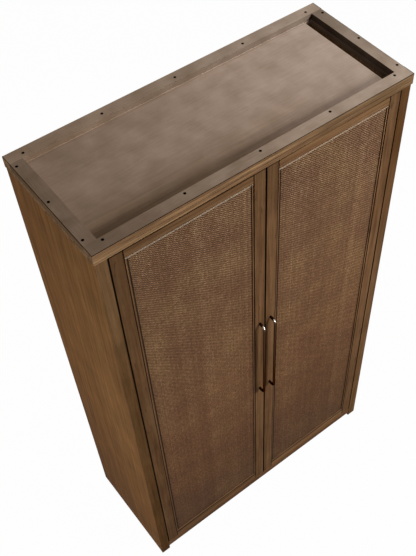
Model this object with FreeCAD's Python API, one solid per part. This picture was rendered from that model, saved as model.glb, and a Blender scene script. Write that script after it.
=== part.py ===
import FreeCAD, Part
import math
import os
from FreeCAD import Vector

# Bar armoire with two cane-panelled doors, in millimetres.
# +X points to the right of the cabinet, +Y to its back and +Z up.
# The origin is on the floor, in the middle of the outline with the pulls counted in.

# Overall sizes
TOP_WIDTH = 1026.0
TOTAL_HEIGHT = 1836.0
CARCASS_DEPTH = 415.5
TOP_OVERHANG = 2.5

# Carcass boards
SIDE_THICKNESS = 35.0
BASE_THICKNESS = 32.0
BASE_UNDERSIDE = 27.0
TOP_BOARD_THICKNESS = 17.0
BACK_THICKNESS = 6.0
BACK_INSET = 8.0
HOUSING_DEPTH = 8.0
HOUSING_STOP = 25.0
SHELF_SHOULDER = 6.0
TONGUE_THICKNESS = 10.0
TONGUE_HEIGHT = 8.0
EASED_EDGE = 1.0
SEAM_CHAMFER = 0.4

# Gallery round the recessed top, and the open slot at its right end
GALLERY_HEIGHT = 18.0
GALLERY_REBATE = 2.0
GALLERY_FRONT_WIDTH = 38.0
GALLERY_BACK_WIDTH = 38.0
GALLERY_SIDE_WIDTH = 38.0
SLOT_WIDTH = 28.0

# Gallery screws
TOP_SCREW_HEAD_RADIUS = 4.1
TOP_SCREW_HEAD_HEIGHT = 2.5
TOP_SCREW_SHANK_RADIUS = 1.75
TOP_SCREW_LENGTH = 26.0
TOP_SCREW_SINK = 2.0
TOP_SCREW_END_INSET = 47.5
TOP_SCREW_FRONT_INSET = 28.0
TOP_SCREW_BACK_INSET = 22.5
TOP_SCREW_SIDE_INSET = 11.0
TOP_SCREW_SIDE_SPACING = 153.5
FRONT_SCREW_COUNT = 5
SIDE_SCREW_COUNT = 3

# Shelves, given by the height of the upper face, or by its drop below the top board
COUNTER_HEIGHT = 900.0
COUNTER_THICKNESS = 25.0
STEMWARE_SHELF_DROP = 341.0
STEMWARE_SHELF_THICKNESS = 20.0
BOTTLE_SHELF_HEIGHT = 520.0
BOTTLE_SHELF_THICKNESS = 20.0
SHELF_SWING_CLEARANCE = 4.0
SHELF_END_GAP = 2.0
SHELF_BACK_GAP = 2.0

# Shelf pins and their rows of holes
SHELF_PIN_RADIUS = 2.5
SHELF_PIN_REACH = 10.0
SHELF_PIN_INSET = 45.0
SHELF_PIN_PITCH = 32.0
SHELF_PIN_ROWS = 3

# Stemware rails
STEMWARE_RAILS = 5
STEMWARE_FLANGE_WIDTH = 74.0
STEMWARE_FLANGE_THICKNESS = 10.0
STEMWARE_BEVEL = 3.0
STEMWARE_SLOT = 28.0
STEMWARE_WEB_WIDTH = 18.0
STEMWARE_WEB_HEIGHT = 24.0
STEMWARE_END_INSET = 18.0

# Bottle cradles
BOTTLE_PITCH = 116.0
BOTTLE_AXIS_HEIGHT = 58.0
BODY_SCALLOP_RADIUS = 42.0
BODY_CRADLE_HEIGHT = 40.0
NECK_SCALLOP_RADIUS = 18.0
NECK_CRADLE_HEIGHT = 54.0
CRADLE_THICKNESS = 18.0
CRADLE_INSET = 30.0
CRADLE_SPACING = 225.0

# Nylon glides under the sides
GLIDE_RADIUS = 11.0
GLIDE_HEIGHT = 4.0
GLIDE_INSET = 40.0

# Doors
DOOR_THICKNESS = 24.0
DOOR_TOP_GAP = 3.5
DOOR_BOTTOM_GAP = 3.0
DOOR_MEETING_GAP = 4.0
STILE_WIDTH = 39.0
TOP_RAIL_HEIGHT = 32.0
BOTTOM_RAIL_HEIGHT = 35.0
JOINT_CHAMFER = 1.0
LEDGE_WIDTH = 9.0
BEAD_WIDTH = 5.0
BEAD_THICKNESS = 4.0
BEAD_CROWN = 1.5
QUIRK_WIDTH = 1.0
QUIRK_DEPTH = 3.0
BEAD_SETBACK = 1.0
CANE_THICKNESS = 1.5
BACKING_THICKNESS = 6.0
PANEL_EDGE_GAP = 1.0
TENON_FRONT = 5.0
TENON_THICKNESS = 8.0
TENON_SHOULDER = 6.0
TENON_WALL = 1.5

# Concealed pivots
PIVOT_INSET = 22.0
PIVOT_DEPTH = 10.0
PIVOT_SWING_CLEARANCE = 0.8
PIVOT_PIN_RADIUS = 3.5
PIVOT_RUNNING_CLEARANCE = 0.05
PIVOT_BOSS_RADIUS = 6.0
PIVOT_PLATE_WIDTH = 14.0
PIVOT_PLATE_LENGTH = 40.0
PIVOT_PLATE_THICKNESS = 3.0
BOTTOM_PIN_REACH = 22.0
TOP_PIN_REACH = 18.0
THRUST_GAP = 0.3
BUSH_RADIUS = 5.5
BUSH_SPARE_DEPTH = 3.0

# Pulls
PULL_BAR_RADIUS = 4.5
PULL_STANDOFF = 25.0
PULL_CENTRES = 384.0
PULL_MIDDLE_HEIGHT = 945.0
PULL_BEND_RADIUS = 14.0
PULL_SCREW_RADIUS = 2.0
PULL_SCREW_GRIP = 10.0
PULL_SCREW_HEAD_RADIUS = 4.0
PULL_SCREW_HEAD_HEIGHT = 2.6
PULL_SCREW_SINK = 0.4

# Door stop, catches and strikes
STOP_LENGTH = 440.0
STOP_DEPTH = 20.0
STOP_HEIGHT = 25.0
STOP_GAP = 0.4
CATCH_WIDTH = 34.0
CATCH_DEPTH = 22.0
CATCH_HEIGHT = 12.0
CATCH_CORNER = 2.0
STRIKE_WIDTH = 30.0
STRIKE_HEIGHT = 12.0
STRIKE_THICKNESS = 1.2

# Room round a pin, screw or plate in its own seat
FIT_GAP = 0.1
SAME_PLACE = 1e-6

# Flat sides of small round pieces and their holes, and of screw shanks
PEG_SIDES = 12
SHANK_SIDES = 6

# Levels and planes that follow from the sizes above
half_top = TOP_WIDTH / 2
carcass_half = half_top - TOP_OVERHANG
inner_half = carcass_half - SIDE_THICKNESS
pull_projection = PULL_STANDOFF + PULL_BAR_RADIUS
face_y = -(CARCASS_DEPTH - pull_projection) / 2
back_y = face_y + CARCASS_DEPTH
inside_back = back_y - BACK_INSET - BACK_THICKNESS
top_front = face_y - TOP_OVERHANG
recess_floor = TOTAL_HEIGHT - GALLERY_HEIGHT
gallery_seat = recess_floor - GALLERY_REBATE
carcass_top = recess_floor - TOP_BOARD_THICKNESS
base_top = BASE_UNDERSIDE + BASE_THICKNESS
recess_front = top_front + GALLERY_FRONT_WIDTH
recess_back = back_y - GALLERY_BACK_WIDTH
recess_half = half_top - GALLERY_SIDE_WIDTH
counter_bottom = COUNTER_HEIGHT - COUNTER_THICKNESS
stemware_top = carcass_top - STEMWARE_SHELF_DROP
stemware_bottom = stemware_top - STEMWARE_SHELF_THICKNESS
bottle_bottom = BOTTLE_SHELF_HEIGHT - BOTTLE_SHELF_THICKNESS

# Door planes: the side gap lets the front corner of the hinge stile swing past the side panel
door_side_gap = math.hypot(PIVOT_INSET, PIVOT_DEPTH) - PIVOT_INSET + PIVOT_SWING_CLEARANCE
door_bottom = base_top + DOOR_BOTTOM_GAP
door_top = carcass_top - DOOR_TOP_GAP
door_left = -inner_half + door_side_gap
door_right = -DOOR_MEETING_GAP / 2
door_back = face_y + DOOR_THICKNESS
bead_front = face_y + BEAD_SETBACK
cane_front = bead_front + BEAD_THICKNESS
cane_back = cane_front + CANE_THICKNESS
ledge_y = cane_back + BACKING_THICKNESS
opening_left = door_left + STILE_WIDTH
opening_right = door_right - STILE_WIDTH
opening_bottom = door_bottom + BOTTOM_RAIL_HEIGHT
opening_top = door_top - TOP_RAIL_HEIGHT
pivot_x = door_left + PIVOT_INSET
pivot_y = face_y + PIVOT_DEPTH
pull_x = door_right - STILE_WIDTH / 2
tenon_length = STILE_WIDTH - PIVOT_INSET - BUSH_RADIUS - TENON_WALL
tenon_y = face_y + TENON_FRONT
tenon_spans = [
    (door_bottom + TENON_SHOULDER, opening_bottom - TENON_SHOULDER),
    (opening_top + TENON_SHOULDER, door_top - TENON_SHOULDER),
]
bush_length = BOTTOM_PIN_REACH + BUSH_SPARE_DEPTH
stop_front = door_back + STOP_GAP
stop_bottom = carcass_top - STOP_HEIGHT
catch_bottom = stop_bottom - CATCH_HEIGHT
catch_middle = stop_bottom - CATCH_HEIGHT / 2

# The back corner of the hinge stile sweeps this far into the cabinet, so shelves start behind it
swing_reach = math.hypot(PIVOT_INSET, DOOR_THICKNESS - PIVOT_DEPTH)
shelf_front = pivot_y + swing_reach + SHELF_SWING_CLEARANCE

UP = Vector(0, 0, 1)
DOWN = Vector(0, 0, -1)
FORWARD = Vector(0, -1, 0)
BACKWARD = Vector(0, 1, 0)
LEFTWARD = Vector(-1, 0, 0)
RIGHTWARD = Vector(1, 0, 0)


def block(x_span, y_span, z_span):
    """A square-edged solid between two limits on each axis."""
    low = Vector(x_span[0], y_span[0], z_span[0])
    high = Vector(x_span[1], y_span[1], z_span[1])
    size = high - low
    return Part.makeBox(size.x, size.y, size.z, low)


def extruded(outline, travel):
    """A closed outline with straight sides, carried along a vector."""
    corners = [Vector(*corner) for corner in outline]
    return Part.Face(Part.makePolygon(corners + corners[:1])).extrude(Vector(*travel))


def drill(radius, depth, base, direction):
    """The tool for a round hole that starts at base."""
    return Part.makeCylinder(radius, depth, base, direction)


def peg(radius, length, base, direction, sides=PEG_SIDES):
    """A small straight pin, disc or hole that starts at base."""
    angles = [2 * math.pi * index / sides for index in range(sides)]
    corners = [Vector(radius * math.cos(angle), radius * math.sin(angle), 0) for angle in angles]
    solid = Part.Face(Part.makePolygon(corners + corners[:1])).extrude(UP * length)
    solid.Placement = FreeCAD.Placement(base, FreeCAD.Rotation(UP, direction))
    return solid


def screw(head_radius, head_height, shank_radius, length, base, direction):
    """A screw with a flat head that starts at base."""
    head = peg(head_radius, head_height, base, direction)
    return head.fuse(peg(shank_radius, length, base, direction, SHANK_SIDES)).removeSplitter()


def mirrored(shape):
    """The same piece on the right half of the cabinet."""
    return shape.mirror(Vector(), Vector(1, 0, 0))


def evenly(first, last, count):
    """Count places from first to last, evenly spaced."""
    return [first + (last - first) * index / (count - 1) for index in range(count)]


def centred(spacing, count):
    """Count places about zero, a spacing apart."""
    return [(index - (count - 1) / 2) * spacing for index in range(count)]


def eased(shape, size, is_wanted):
    """Chamfers the edges whose ends all pass the test."""
    edges = [edge for edge in shape.Edges if all(is_wanted(vertex.Point) for vertex in edge.Vertexes)]
    return shape.makeChamfer(size, edges)


def lies_at(value, level):
    """True where a coordinate is on a level."""
    return abs(value - level) < SAME_PLACE


def top_screw_places():
    """Places of the gallery screws: along the front and back rails, then along the side rails."""
    across = evenly(-half_top + TOP_SCREW_END_INSET, half_top - TOP_SCREW_END_INSET, FRONT_SCREW_COUNT)
    rows = (top_front + TOP_SCREW_FRONT_INSET, back_y - TOP_SCREW_BACK_INSET)
    columns = (-half_top + TOP_SCREW_SIDE_INSET, half_top - TOP_SCREW_SIDE_INSET)
    middle = (top_front + back_y) / 2
    deep = [middle + offset for offset in centred(TOP_SCREW_SIDE_SPACING, SIDE_SCREW_COUNT)]
    return [(x, y) for y in rows for x in across] + [(x, y) for x in columns for y in deep]


def top_screw(place):
    """A gallery screw, its flat head sunk a little below the rail."""
    head_top = Vector(place[0], place[1], TOTAL_HEIGHT - TOP_SCREW_SINK)
    return screw(
        TOP_SCREW_HEAD_RADIUS, TOP_SCREW_HEAD_HEIGHT, TOP_SCREW_SHANK_RADIUS, TOP_SCREW_LENGTH, head_top, DOWN
    )


def top_screw_holes():
    """Counterbores and pilot holes for all the gallery screws."""
    head_depth = TOP_SCREW_SINK + TOP_SCREW_HEAD_HEIGHT
    pilot_depth = TOP_SCREW_SINK + TOP_SCREW_LENGTH + FIT_GAP
    tools = []
    for x, y in top_screw_places():
        mouth = Vector(x, y, TOTAL_HEIGHT)
        tools.append(peg(TOP_SCREW_HEAD_RADIUS + FIT_GAP, head_depth, mouth, DOWN))
        tools.append(peg(TOP_SCREW_SHANK_RADIUS + FIT_GAP, pilot_depth, mouth, DOWN, SHANK_SIDES))
    return tools


def shelf_pin_places():
    """Distances from the front and heights of all the shelf pin holes; the middle row carries the shelf."""
    depths = (shelf_front + SHELF_PIN_INSET, inside_back - SHELF_BACK_GAP - SHELF_PIN_INSET)
    middle = bottle_bottom - SHELF_PIN_RADIUS
    return [(y, middle + rise) for y in depths for rise in centred(SHELF_PIN_PITCH, SHELF_PIN_ROWS)]


def shelf_pin(y, z, gap=0.0):
    """A plain shelf pin, half in the side panel and half under the shelf, or its hole when a gap is given."""
    half = SHELF_PIN_REACH + gap
    return peg(SHELF_PIN_RADIUS + gap, 2 * half, Vector(-inner_half - half, y, z), RIGHTWARD)


def glide_places():
    """Places of the two glides under the left side panel."""
    x = -carcass_half + SIDE_THICKNESS / 2
    return [(x, face_y + GLIDE_INSET), (x, back_y - GLIDE_INSET)]


def glide(place):
    """A disc between the side panel and the floor."""
    return peg(GLIDE_RADIUS, GLIDE_HEIGHT, Vector(place[0], place[1], 0), UP)


def top_tongue(gap=0.0):
    """The tongue along the top edge of the left side panel, or its groove when a gap is given."""
    middle = -carcass_half + SIDE_THICKNESS / 2
    half = TONGUE_THICKNESS / 2 + gap
    y_span = (face_y + HOUSING_STOP - gap, inside_back + gap)
    return block((middle - half, middle + half), y_span, (carcass_top, carcass_top + TONGUE_HEIGHT + gap))


def left_side_panel():
    """Side panel in plan: eased front corners, groove for the back; then tongue, housings and pin holes."""
    outer = -carcass_half
    inner = -inner_half
    groove = inner - HOUSING_DEPTH
    groove_back = inside_back + BACK_THICKNESS
    plan = [
        (outer + EASED_EDGE, face_y, GLIDE_HEIGHT),
        (inner - EASED_EDGE, face_y, GLIDE_HEIGHT),
        (inner, face_y + EASED_EDGE, GLIDE_HEIGHT),
        (inner, inside_back, GLIDE_HEIGHT),
        (groove, inside_back, GLIDE_HEIGHT),
        (groove, groove_back, GLIDE_HEIGHT),
        (inner, groove_back, GLIDE_HEIGHT),
        (inner, back_y, GLIDE_HEIGHT),
        (outer, back_y, GLIDE_HEIGHT),
        (outer, face_y + EASED_EDGE, GLIDE_HEIGHT),
    ]
    panel = extruded(plan, (0, 0, carcass_top - GLIDE_HEIGHT)).fuse(top_tongue())
    tools = [
        block((groove, inner), (face_y + HOUSING_STOP, inside_back), (BASE_UNDERSIDE, base_top)),
        block((groove, inner), (shelf_front, inside_back), (counter_bottom, COUNTER_HEIGHT - SHELF_SHOULDER)),
        block((groove, inner), (shelf_front, inside_back), (stemware_bottom, stemware_top - SHELF_SHOULDER)),
    ]
    tools += [shelf_pin(y, z, FIT_GAP) for y, z in shelf_pin_places()]
    return panel.cut(tools).removeSplitter()


def base_board():
    """Base board in plan: flush front between the sides, with tongues in their stopped housings."""
    tongue = inner_half + HOUSING_DEPTH
    stop = face_y + HOUSING_STOP
    plan = [
        (-inner_half, face_y, BASE_UNDERSIDE),
        (inner_half, face_y, BASE_UNDERSIDE),
        (inner_half, stop, BASE_UNDERSIDE),
        (tongue, stop, BASE_UNDERSIDE),
        (tongue, inside_back, BASE_UNDERSIDE),
        (-tongue, inside_back, BASE_UNDERSIDE),
        (-tongue, stop, BASE_UNDERSIDE),
        (-inner_half, stop, BASE_UNDERSIDE),
    ]
    board = extruded(plan, (0, 0, BASE_THICKNESS))
    board = eased(board, EASED_EDGE, lambda p: lies_at(p.y, face_y) and lies_at(abs(p.x), inner_half))
    seat = pivot_plate(base_top - PIVOT_PLATE_THICKNESS, FIT_GAP)
    return board.cut([seat, mirrored(seat)])


def housed_shelf(underside, thickness):
    """A fixed shelf, shouldered over the tongues at its ends, which sit in the housings of the sides."""
    top = underside + thickness
    right_half = [
        (inner_half + HOUSING_DEPTH, underside),
        (inner_half + HOUSING_DEPTH, top - SHELF_SHOULDER),
        (inner_half, top - SHELF_SHOULDER),
        (inner_half, top),
    ]
    left_half = [(-x, z) for x, z in reversed(right_half)]
    outline = [(x, shelf_front, z) for x, z in right_half + left_half]
    shelf = extruded(outline, (0, inside_back - shelf_front, 0))

    def is_front_arris(p):
        return lies_at(p.y, shelf_front) and (lies_at(p.z, underside) or lies_at(p.z, top))

    return eased(shelf, EASED_EDGE, is_front_arris)


def bottle_shelf():
    """The loose shelf, lying on its pins with room at the ends and the back."""
    half = inner_half - SHELF_END_GAP
    depth = (shelf_front, inside_back - SHELF_BACK_GAP)
    shelf = block((-half, half), depth, (bottle_bottom, BOTTLE_SHELF_HEIGHT))
    return eased(shelf, EASED_EDGE, lambda p: lies_at(p.y, shelf_front))


def top_board():
    """The top board, rebated all round for the gallery; then the slot, side grooves and pivot seats."""
    board = block((-half_top, half_top), (top_front, back_y), (carcass_top, gallery_seat))
    board = eased(board, EASED_EDGE, lambda p: lies_at(p.y, top_front) and lies_at(p.z, carcass_top))
    board = eased(board, SEAM_CHAMFER, lambda p: lies_at(p.y, top_front) and lies_at(p.z, gallery_seat))
    field = block((-recess_half, recess_half), (recess_front, recess_back), (gallery_seat, recess_floor))
    slot_span = (recess_half - SLOT_WIDTH, recess_half)
    slot = block(slot_span, (recess_front, recess_back), (carcass_top, recess_floor))
    seat = pivot_plate(carcass_top, FIT_GAP)
    groove = top_tongue(FIT_GAP)
    tools = [slot, seat, mirrored(seat), groove, mirrored(groove)] + top_screw_holes()
    return board.fuse(field).cut(tools)


def gallery_long_rail(front, back, outer):
    """A gallery rail across the whole top, eased along its outer edges."""
    rail = block((-half_top, half_top), (front, back), (gallery_seat, TOTAL_HEIGHT))
    rail = eased(rail, EASED_EDGE, lambda p: lies_at(p.y, outer) and lies_at(p.z, TOTAL_HEIGHT))
    rail = eased(rail, SEAM_CHAMFER, lambda p: lies_at(p.y, outer) and lies_at(p.z, gallery_seat))
    return rail.cut(top_screw_holes())


def gallery_left_rail():
    """The gallery rail along the left side, between the long rails."""
    span = (-half_top, -recess_half)
    rail = block(span, (recess_front, recess_back), (gallery_seat, TOTAL_HEIGHT))
    rail = eased(rail, EASED_EDGE, lambda p: lies_at(p.x, -half_top) and lies_at(p.z, TOTAL_HEIGHT))
    return rail.cut(top_screw_holes())


def back_panel():
    """The back panel, let into the grooves of the side panels."""
    half = inner_half + HOUSING_DEPTH - PANEL_EDGE_GAP
    return block((-half, half), (inside_back, inside_back + BACK_THICKNESS), (BASE_UNDERSIDE, carcass_top))


def stemware_rail(x):
    """A T-shaped rail with a bevelled flange; glass feet slide over the flanges of two neighbours."""
    web = STEMWARE_WEB_WIDTH / 2
    wide = STEMWARE_FLANGE_WIDTH / 2
    narrow = wide - STEMWARE_BEVEL
    y = shelf_front + STEMWARE_END_INSET
    flange_top = stemware_bottom - STEMWARE_WEB_HEIGHT
    flange_bottom = flange_top - STEMWARE_FLANGE_THICKNESS
    right_half = [
        (narrow, flange_bottom),
        (wide, flange_bottom + STEMWARE_BEVEL),
        (wide, flange_top - STEMWARE_BEVEL),
        (narrow, flange_top),
        (web, flange_top),
        (web, stemware_bottom),
    ]
    left_half = [(-offset, z) for offset, z in reversed(right_half)]
    outline = [(x + offset, y, z) for offset, z in right_half + left_half]
    return extruded(outline, (0, inside_back - STEMWARE_END_INSET - y, 0))


def cradle_bays():
    """Middles of as many bottle bays as fit between the sides."""
    return centred(BOTTLE_PITCH, int(2 * inner_half // BOTTLE_PITCH))


def bottle_cradle(front, height, scallop_radius):
    """A rail on the base board, its top edge scalloped for a row of bottles on one level."""
    rail = block((-inner_half, inner_half), (front, front + CRADLE_THICKNESS), (base_top, base_top + height))
    axis_z = base_top + BOTTLE_AXIS_HEIGHT
    mouths = [Vector(x, front, axis_z) for x in cradle_bays()]
    return rail.cut([drill(scallop_radius, CRADLE_THICKNESS, mouth, BACKWARD) for mouth in mouths])


def hinge_stile():
    """Hinge stile in plan: eased corners and a ledge for the panel; then mortises and bush seats."""
    plan = [
        (door_left + EASED_EDGE, face_y, door_bottom),
        (opening_left - JOINT_CHAMFER, face_y, door_bottom),
        (opening_left, face_y + JOINT_CHAMFER, door_bottom),
        (opening_left, ledge_y, door_bottom),
        (opening_left + LEDGE_WIDTH, ledge_y, door_bottom),
        (opening_left + LEDGE_WIDTH, door_back, door_bottom),
        (door_left, door_back, door_bottom),
        (door_left, face_y + EASED_EDGE, door_bottom),
    ]
    stile = extruded(plan, (0, 0, door_top - door_bottom))
    tools = [tenon(opening_left, -1, span, FIT_GAP) for span in tenon_spans]
    tools += [bush_body(end, inward, FIT_GAP) for end, inward in ((door_bottom, UP), (door_top, DOWN))]
    return stile.cut(tools)


def meeting_stile():
    """Meeting stile in plan, the hinge stile turned round; then mortises, screw holes and strike seat."""
    plan = [
        (opening_right + JOINT_CHAMFER, face_y, door_bottom),
        (door_right - EASED_EDGE, face_y, door_bottom),
        (door_right, face_y + EASED_EDGE, door_bottom),
        (door_right, door_back, door_bottom),
        (opening_right - LEDGE_WIDTH, door_back, door_bottom),
        (opening_right - LEDGE_WIDTH, ledge_y, door_bottom),
        (opening_right, ledge_y, door_bottom),
        (opening_right, face_y + JOINT_CHAMFER, door_bottom),
    ]
    stile = extruded(plan, (0, 0, door_top - door_bottom))
    tools = [tenon(opening_right, 1, span, FIT_GAP) for span in tenon_spans]
    head_depth = PULL_SCREW_HEAD_HEIGHT + PULL_SCREW_SINK
    for z in pull_heights():
        mouth = Vector(pull_x, door_back, z)
        tools.append(peg(PULL_SCREW_RADIUS + FIT_GAP, DOOR_THICKNESS, mouth, FORWARD, SHANK_SIDES))
        tools.append(peg(PULL_SCREW_HEAD_RADIUS + FIT_GAP, head_depth, mouth, FORWARD))
    return stile.cut(tools + [strike(FIT_GAP)])


def tenon(edge_x, outward, z_span, gap=0.0):
    """A stub tenon that leaves a rail at edge_x, to the left (-1) or to the right (1)."""
    end_x = edge_x + outward * (tenon_length + gap)
    x_span = (min(edge_x, end_x), max(edge_x, end_x))
    y_span = (tenon_y - gap, tenon_y + TENON_THICKNESS + gap)
    return block(x_span, y_span, (z_span[0] - gap, z_span[1] + gap))


def door_rail(z_span, ledge_span, inner_z, tenon_span):
    """A door rail in plan, chamfered at the joints and coped over the ledges; then ledge and tenons."""
    left_cope = opening_left + LEDGE_WIDTH
    right_cope = opening_right - LEDGE_WIDTH
    plan = [
        (opening_left + JOINT_CHAMFER, face_y, z_span[0]),
        (opening_right - JOINT_CHAMFER, face_y, z_span[0]),
        (opening_right, face_y + JOINT_CHAMFER, z_span[0]),
        (opening_right, ledge_y, z_span[0]),
        (right_cope, ledge_y, z_span[0]),
        (right_cope, door_back, z_span[0]),
        (left_cope, door_back, z_span[0]),
        (left_cope, ledge_y, z_span[0]),
        (opening_left, ledge_y, z_span[0]),
        (opening_left, face_y + JOINT_CHAMFER, z_span[0]),
    ]
    rail = extruded(plan, (0, 0, z_span[1] - z_span[0]))
    rail = eased(rail, JOINT_CHAMFER, lambda p: lies_at(p.y, face_y) and lies_at(p.z, inner_z))
    ledge = block((left_cope, right_cope), (ledge_y, door_back), ledge_span)
    tenons = [tenon(opening_left, -1, tenon_span), tenon(opening_right, 1, tenon_span)]
    return rail.fuse([ledge] + tenons).removeSplitter()


def door_sheet(front, back):
    """A sheet that fills the door opening with a little room at its edges."""
    x_span = (opening_left + PANEL_EDGE_GAP, opening_right - PANEL_EDGE_GAP)
    z_span = (opening_bottom + PANEL_EDGE_GAP, opening_top - PANEL_EDGE_GAP)
    return block(x_span, (front, back), z_span)


def bead_outline(start, across):
    """Outline of a bead from its outer edge to its inner: a sunk quirk and a half round, square behind."""

    def at(width, y):
        return start + across * width + BACKWARD * (y - start.y)

    shoulder = bead_front + BEAD_CROWN
    quirk_floor = bead_front + QUIRK_DEPTH
    crown = at((QUIRK_WIDTH + BEAD_WIDTH) / 2, bead_front)
    arc = Part.Arc(at(QUIRK_WIDTH, shoulder), crown, at(BEAD_WIDTH, shoulder)).toShape()
    corners = [
        at(BEAD_WIDTH, shoulder),
        at(BEAD_WIDTH, cane_front),
        at(0, cane_front),
        at(0, quirk_floor),
        at(QUIRK_WIDTH, quirk_floor),
        at(QUIRK_WIDTH, shoulder),
    ]
    return Part.Face(Part.Wire([arc] + Part.makePolygon(corners).Edges))


def upright_bead(outer_x, across):
    """A bead beside a stile, mitred at both ends."""
    length = opening_top - opening_bottom
    strip = bead_outline(Vector(outer_x, face_y, opening_bottom), across).extrude(UP * length)
    inner_x = outer_x + across.x * BEAD_WIDTH
    mitre = [
        (outer_x, face_y, opening_bottom),
        (inner_x, face_y, opening_bottom + BEAD_WIDTH),
        (inner_x, face_y, opening_top - BEAD_WIDTH),
        (outer_x, face_y, opening_top),
    ]
    return strip.common(extruded(mitre, (0, DOOR_THICKNESS, 0)))


def level_bead(outer_z, across):
    """A bead beside a rail, mitred at both ends."""
    length = opening_right - opening_left
    strip = bead_outline(Vector(opening_left, face_y, outer_z), across).extrude(Vector(length, 0, 0))
    inner_z = outer_z + across.z * BEAD_WIDTH
    mitre = [
        (opening_left, face_y, outer_z),
        (opening_left + BEAD_WIDTH, face_y, inner_z),
        (opening_right - BEAD_WIDTH, face_y, inner_z),
        (opening_right, face_y, outer_z),
    ]
    return strip.common(extruded(mitre, (0, DOOR_THICKNESS, 0)))


def pull_heights():
    """Heights of the two feet of a pull."""
    return [PULL_MIDDLE_HEIGHT + offset for offset in centred(PULL_CENTRES, 2)]


def pull():
    """A round bar bent into a D, swept along its centre line, with a tapped hole in each foot."""
    low, high = pull_heights()
    bar_y = face_y - PULL_STANDOFF
    bend_y = bar_y + PULL_BEND_RADIUS
    slant = PULL_BEND_RADIUS * (1 - math.sqrt(0.5))

    def at(y, z):
        return Vector(pull_x, y, z)

    bar_top = high - PULL_BEND_RADIUS
    bar_bottom = low + PULL_BEND_RADIUS
    upper_bend = Part.Arc(at(bend_y, high), at(bar_y + slant, high - slant), at(bar_y, bar_top))
    lower_bend = Part.Arc(at(bar_y, bar_bottom), at(bar_y + slant, low + slant), at(bend_y, low))
    centre_line = Part.Wire([
        Part.LineSegment(at(face_y, high), at(bend_y, high)).toShape(),
        upper_bend.toShape(),
        Part.LineSegment(at(bar_y, bar_top), at(bar_y, bar_bottom)).toShape(),
        lower_bend.toShape(),
        Part.LineSegment(at(bend_y, low), at(face_y, low)).toShape(),
    ])
    section = Part.Wire([Part.makeCircle(PULL_BAR_RADIUS, at(face_y, high), FORWARD)])
    bar = centre_line.makePipeShell([section], True, False)
    hole = (PULL_SCREW_RADIUS + FIT_GAP, PULL_SCREW_GRIP + FIT_GAP)
    return bar.cut([peg(*hole, at(face_y, z), FORWARD, SHANK_SIDES) for z in (low, high)])


def pull_screw(z):
    """A flat-headed screw from behind the stile into the foot of the pull."""
    head_back = Vector(pull_x, door_back - PULL_SCREW_SINK, z)
    length = DOOR_THICKNESS - PULL_SCREW_SINK + PULL_SCREW_GRIP
    head = (PULL_SCREW_HEAD_RADIUS, PULL_SCREW_HEAD_HEIGHT)
    return screw(*head, PULL_SCREW_RADIUS, length, head_back, FORWARD)


def pivot_plate(underside, gap=0.0):
    """The plate of a pivot, let into a board, or its seat when a gap is given."""
    half = PIVOT_PLATE_WIDTH / 2 + gap
    x_span = (pivot_x - half, pivot_x - half + PIVOT_PLATE_LENGTH + 2 * gap)
    return block(x_span, (pivot_y - half, pivot_y + half), (underside, underside + PIVOT_PLATE_THICKNESS))


def bottom_pivot():
    """The pivot in the base board: plate, boss that carries the door, and pin that runs in its bush."""
    foot = Vector(pivot_x, pivot_y, base_top)
    boss = drill(PIVOT_BOSS_RADIUS, DOOR_BOTTOM_GAP - THRUST_GAP, foot, UP)
    pin = drill(PIVOT_PIN_RADIUS, DOOR_BOTTOM_GAP + BOTTOM_PIN_REACH, foot, UP)
    return pivot_plate(base_top - PIVOT_PLATE_THICKNESS).fuse([boss, pin]).removeSplitter()


def top_pivot():
    """The pivot under the top board: plate, and a pin that runs in the door's bush."""
    pin = drill(PIVOT_PIN_RADIUS, DOOR_TOP_GAP + TOP_PIN_REACH, Vector(pivot_x, pivot_y, carcass_top), DOWN)
    return pivot_plate(carcass_top).fuse(pin).removeSplitter()


def bush_body(end, inward, gap=0.0):
    """The outside of a bush at one end of the hinge stile, or its seat when a gap is given."""
    return peg(BUSH_RADIUS + gap, bush_length + gap, Vector(pivot_x, pivot_y, end), inward)


def bush(end, inward):
    """A bush let into the end of the hinge stile, with a round bore for the pivot pin."""
    bore_radius = PIVOT_PIN_RADIUS + PIVOT_RUNNING_CLEARANCE
    return bush_body(end, inward).cut(drill(bore_radius, bush_length, Vector(pivot_x, pivot_y, end), inward))


def strike(gap=0.0):
    """The steel strike plate, let into the back of the meeting stile."""
    half = STRIKE_WIDTH / 2 + gap
    rise = STRIKE_HEIGHT / 2 + gap
    y_span = (door_back - STRIKE_THICKNESS, door_back)
    return block((pull_x - half, pull_x + half), y_span, (catch_middle - rise, catch_middle + rise))


def catch():
    """A magnetic catch under the stop rail, its upright corners cut off."""
    half = CATCH_WIDTH / 2
    depth = (stop_front, stop_front + CATCH_DEPTH)
    body = block((pull_x - half, pull_x + half), depth, (catch_bottom, stop_bottom))
    upright = [edge for edge in body.Edges if lies_at(edge.BoundBox.ZLength, CATCH_HEIGHT)]
    return body.makeChamfer(CATCH_CORNER, upright)


def stop_rail():
    """The rail under the top that stops both doors and carries their catches."""
    half = STOP_LENGTH / 2
    rail = block((-half, half), (stop_front, stop_front + STOP_DEPTH), (stop_bottom, carcass_top))
    return eased(rail, EASED_EDGE, lambda p: lies_at(p.z, stop_bottom))


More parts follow.
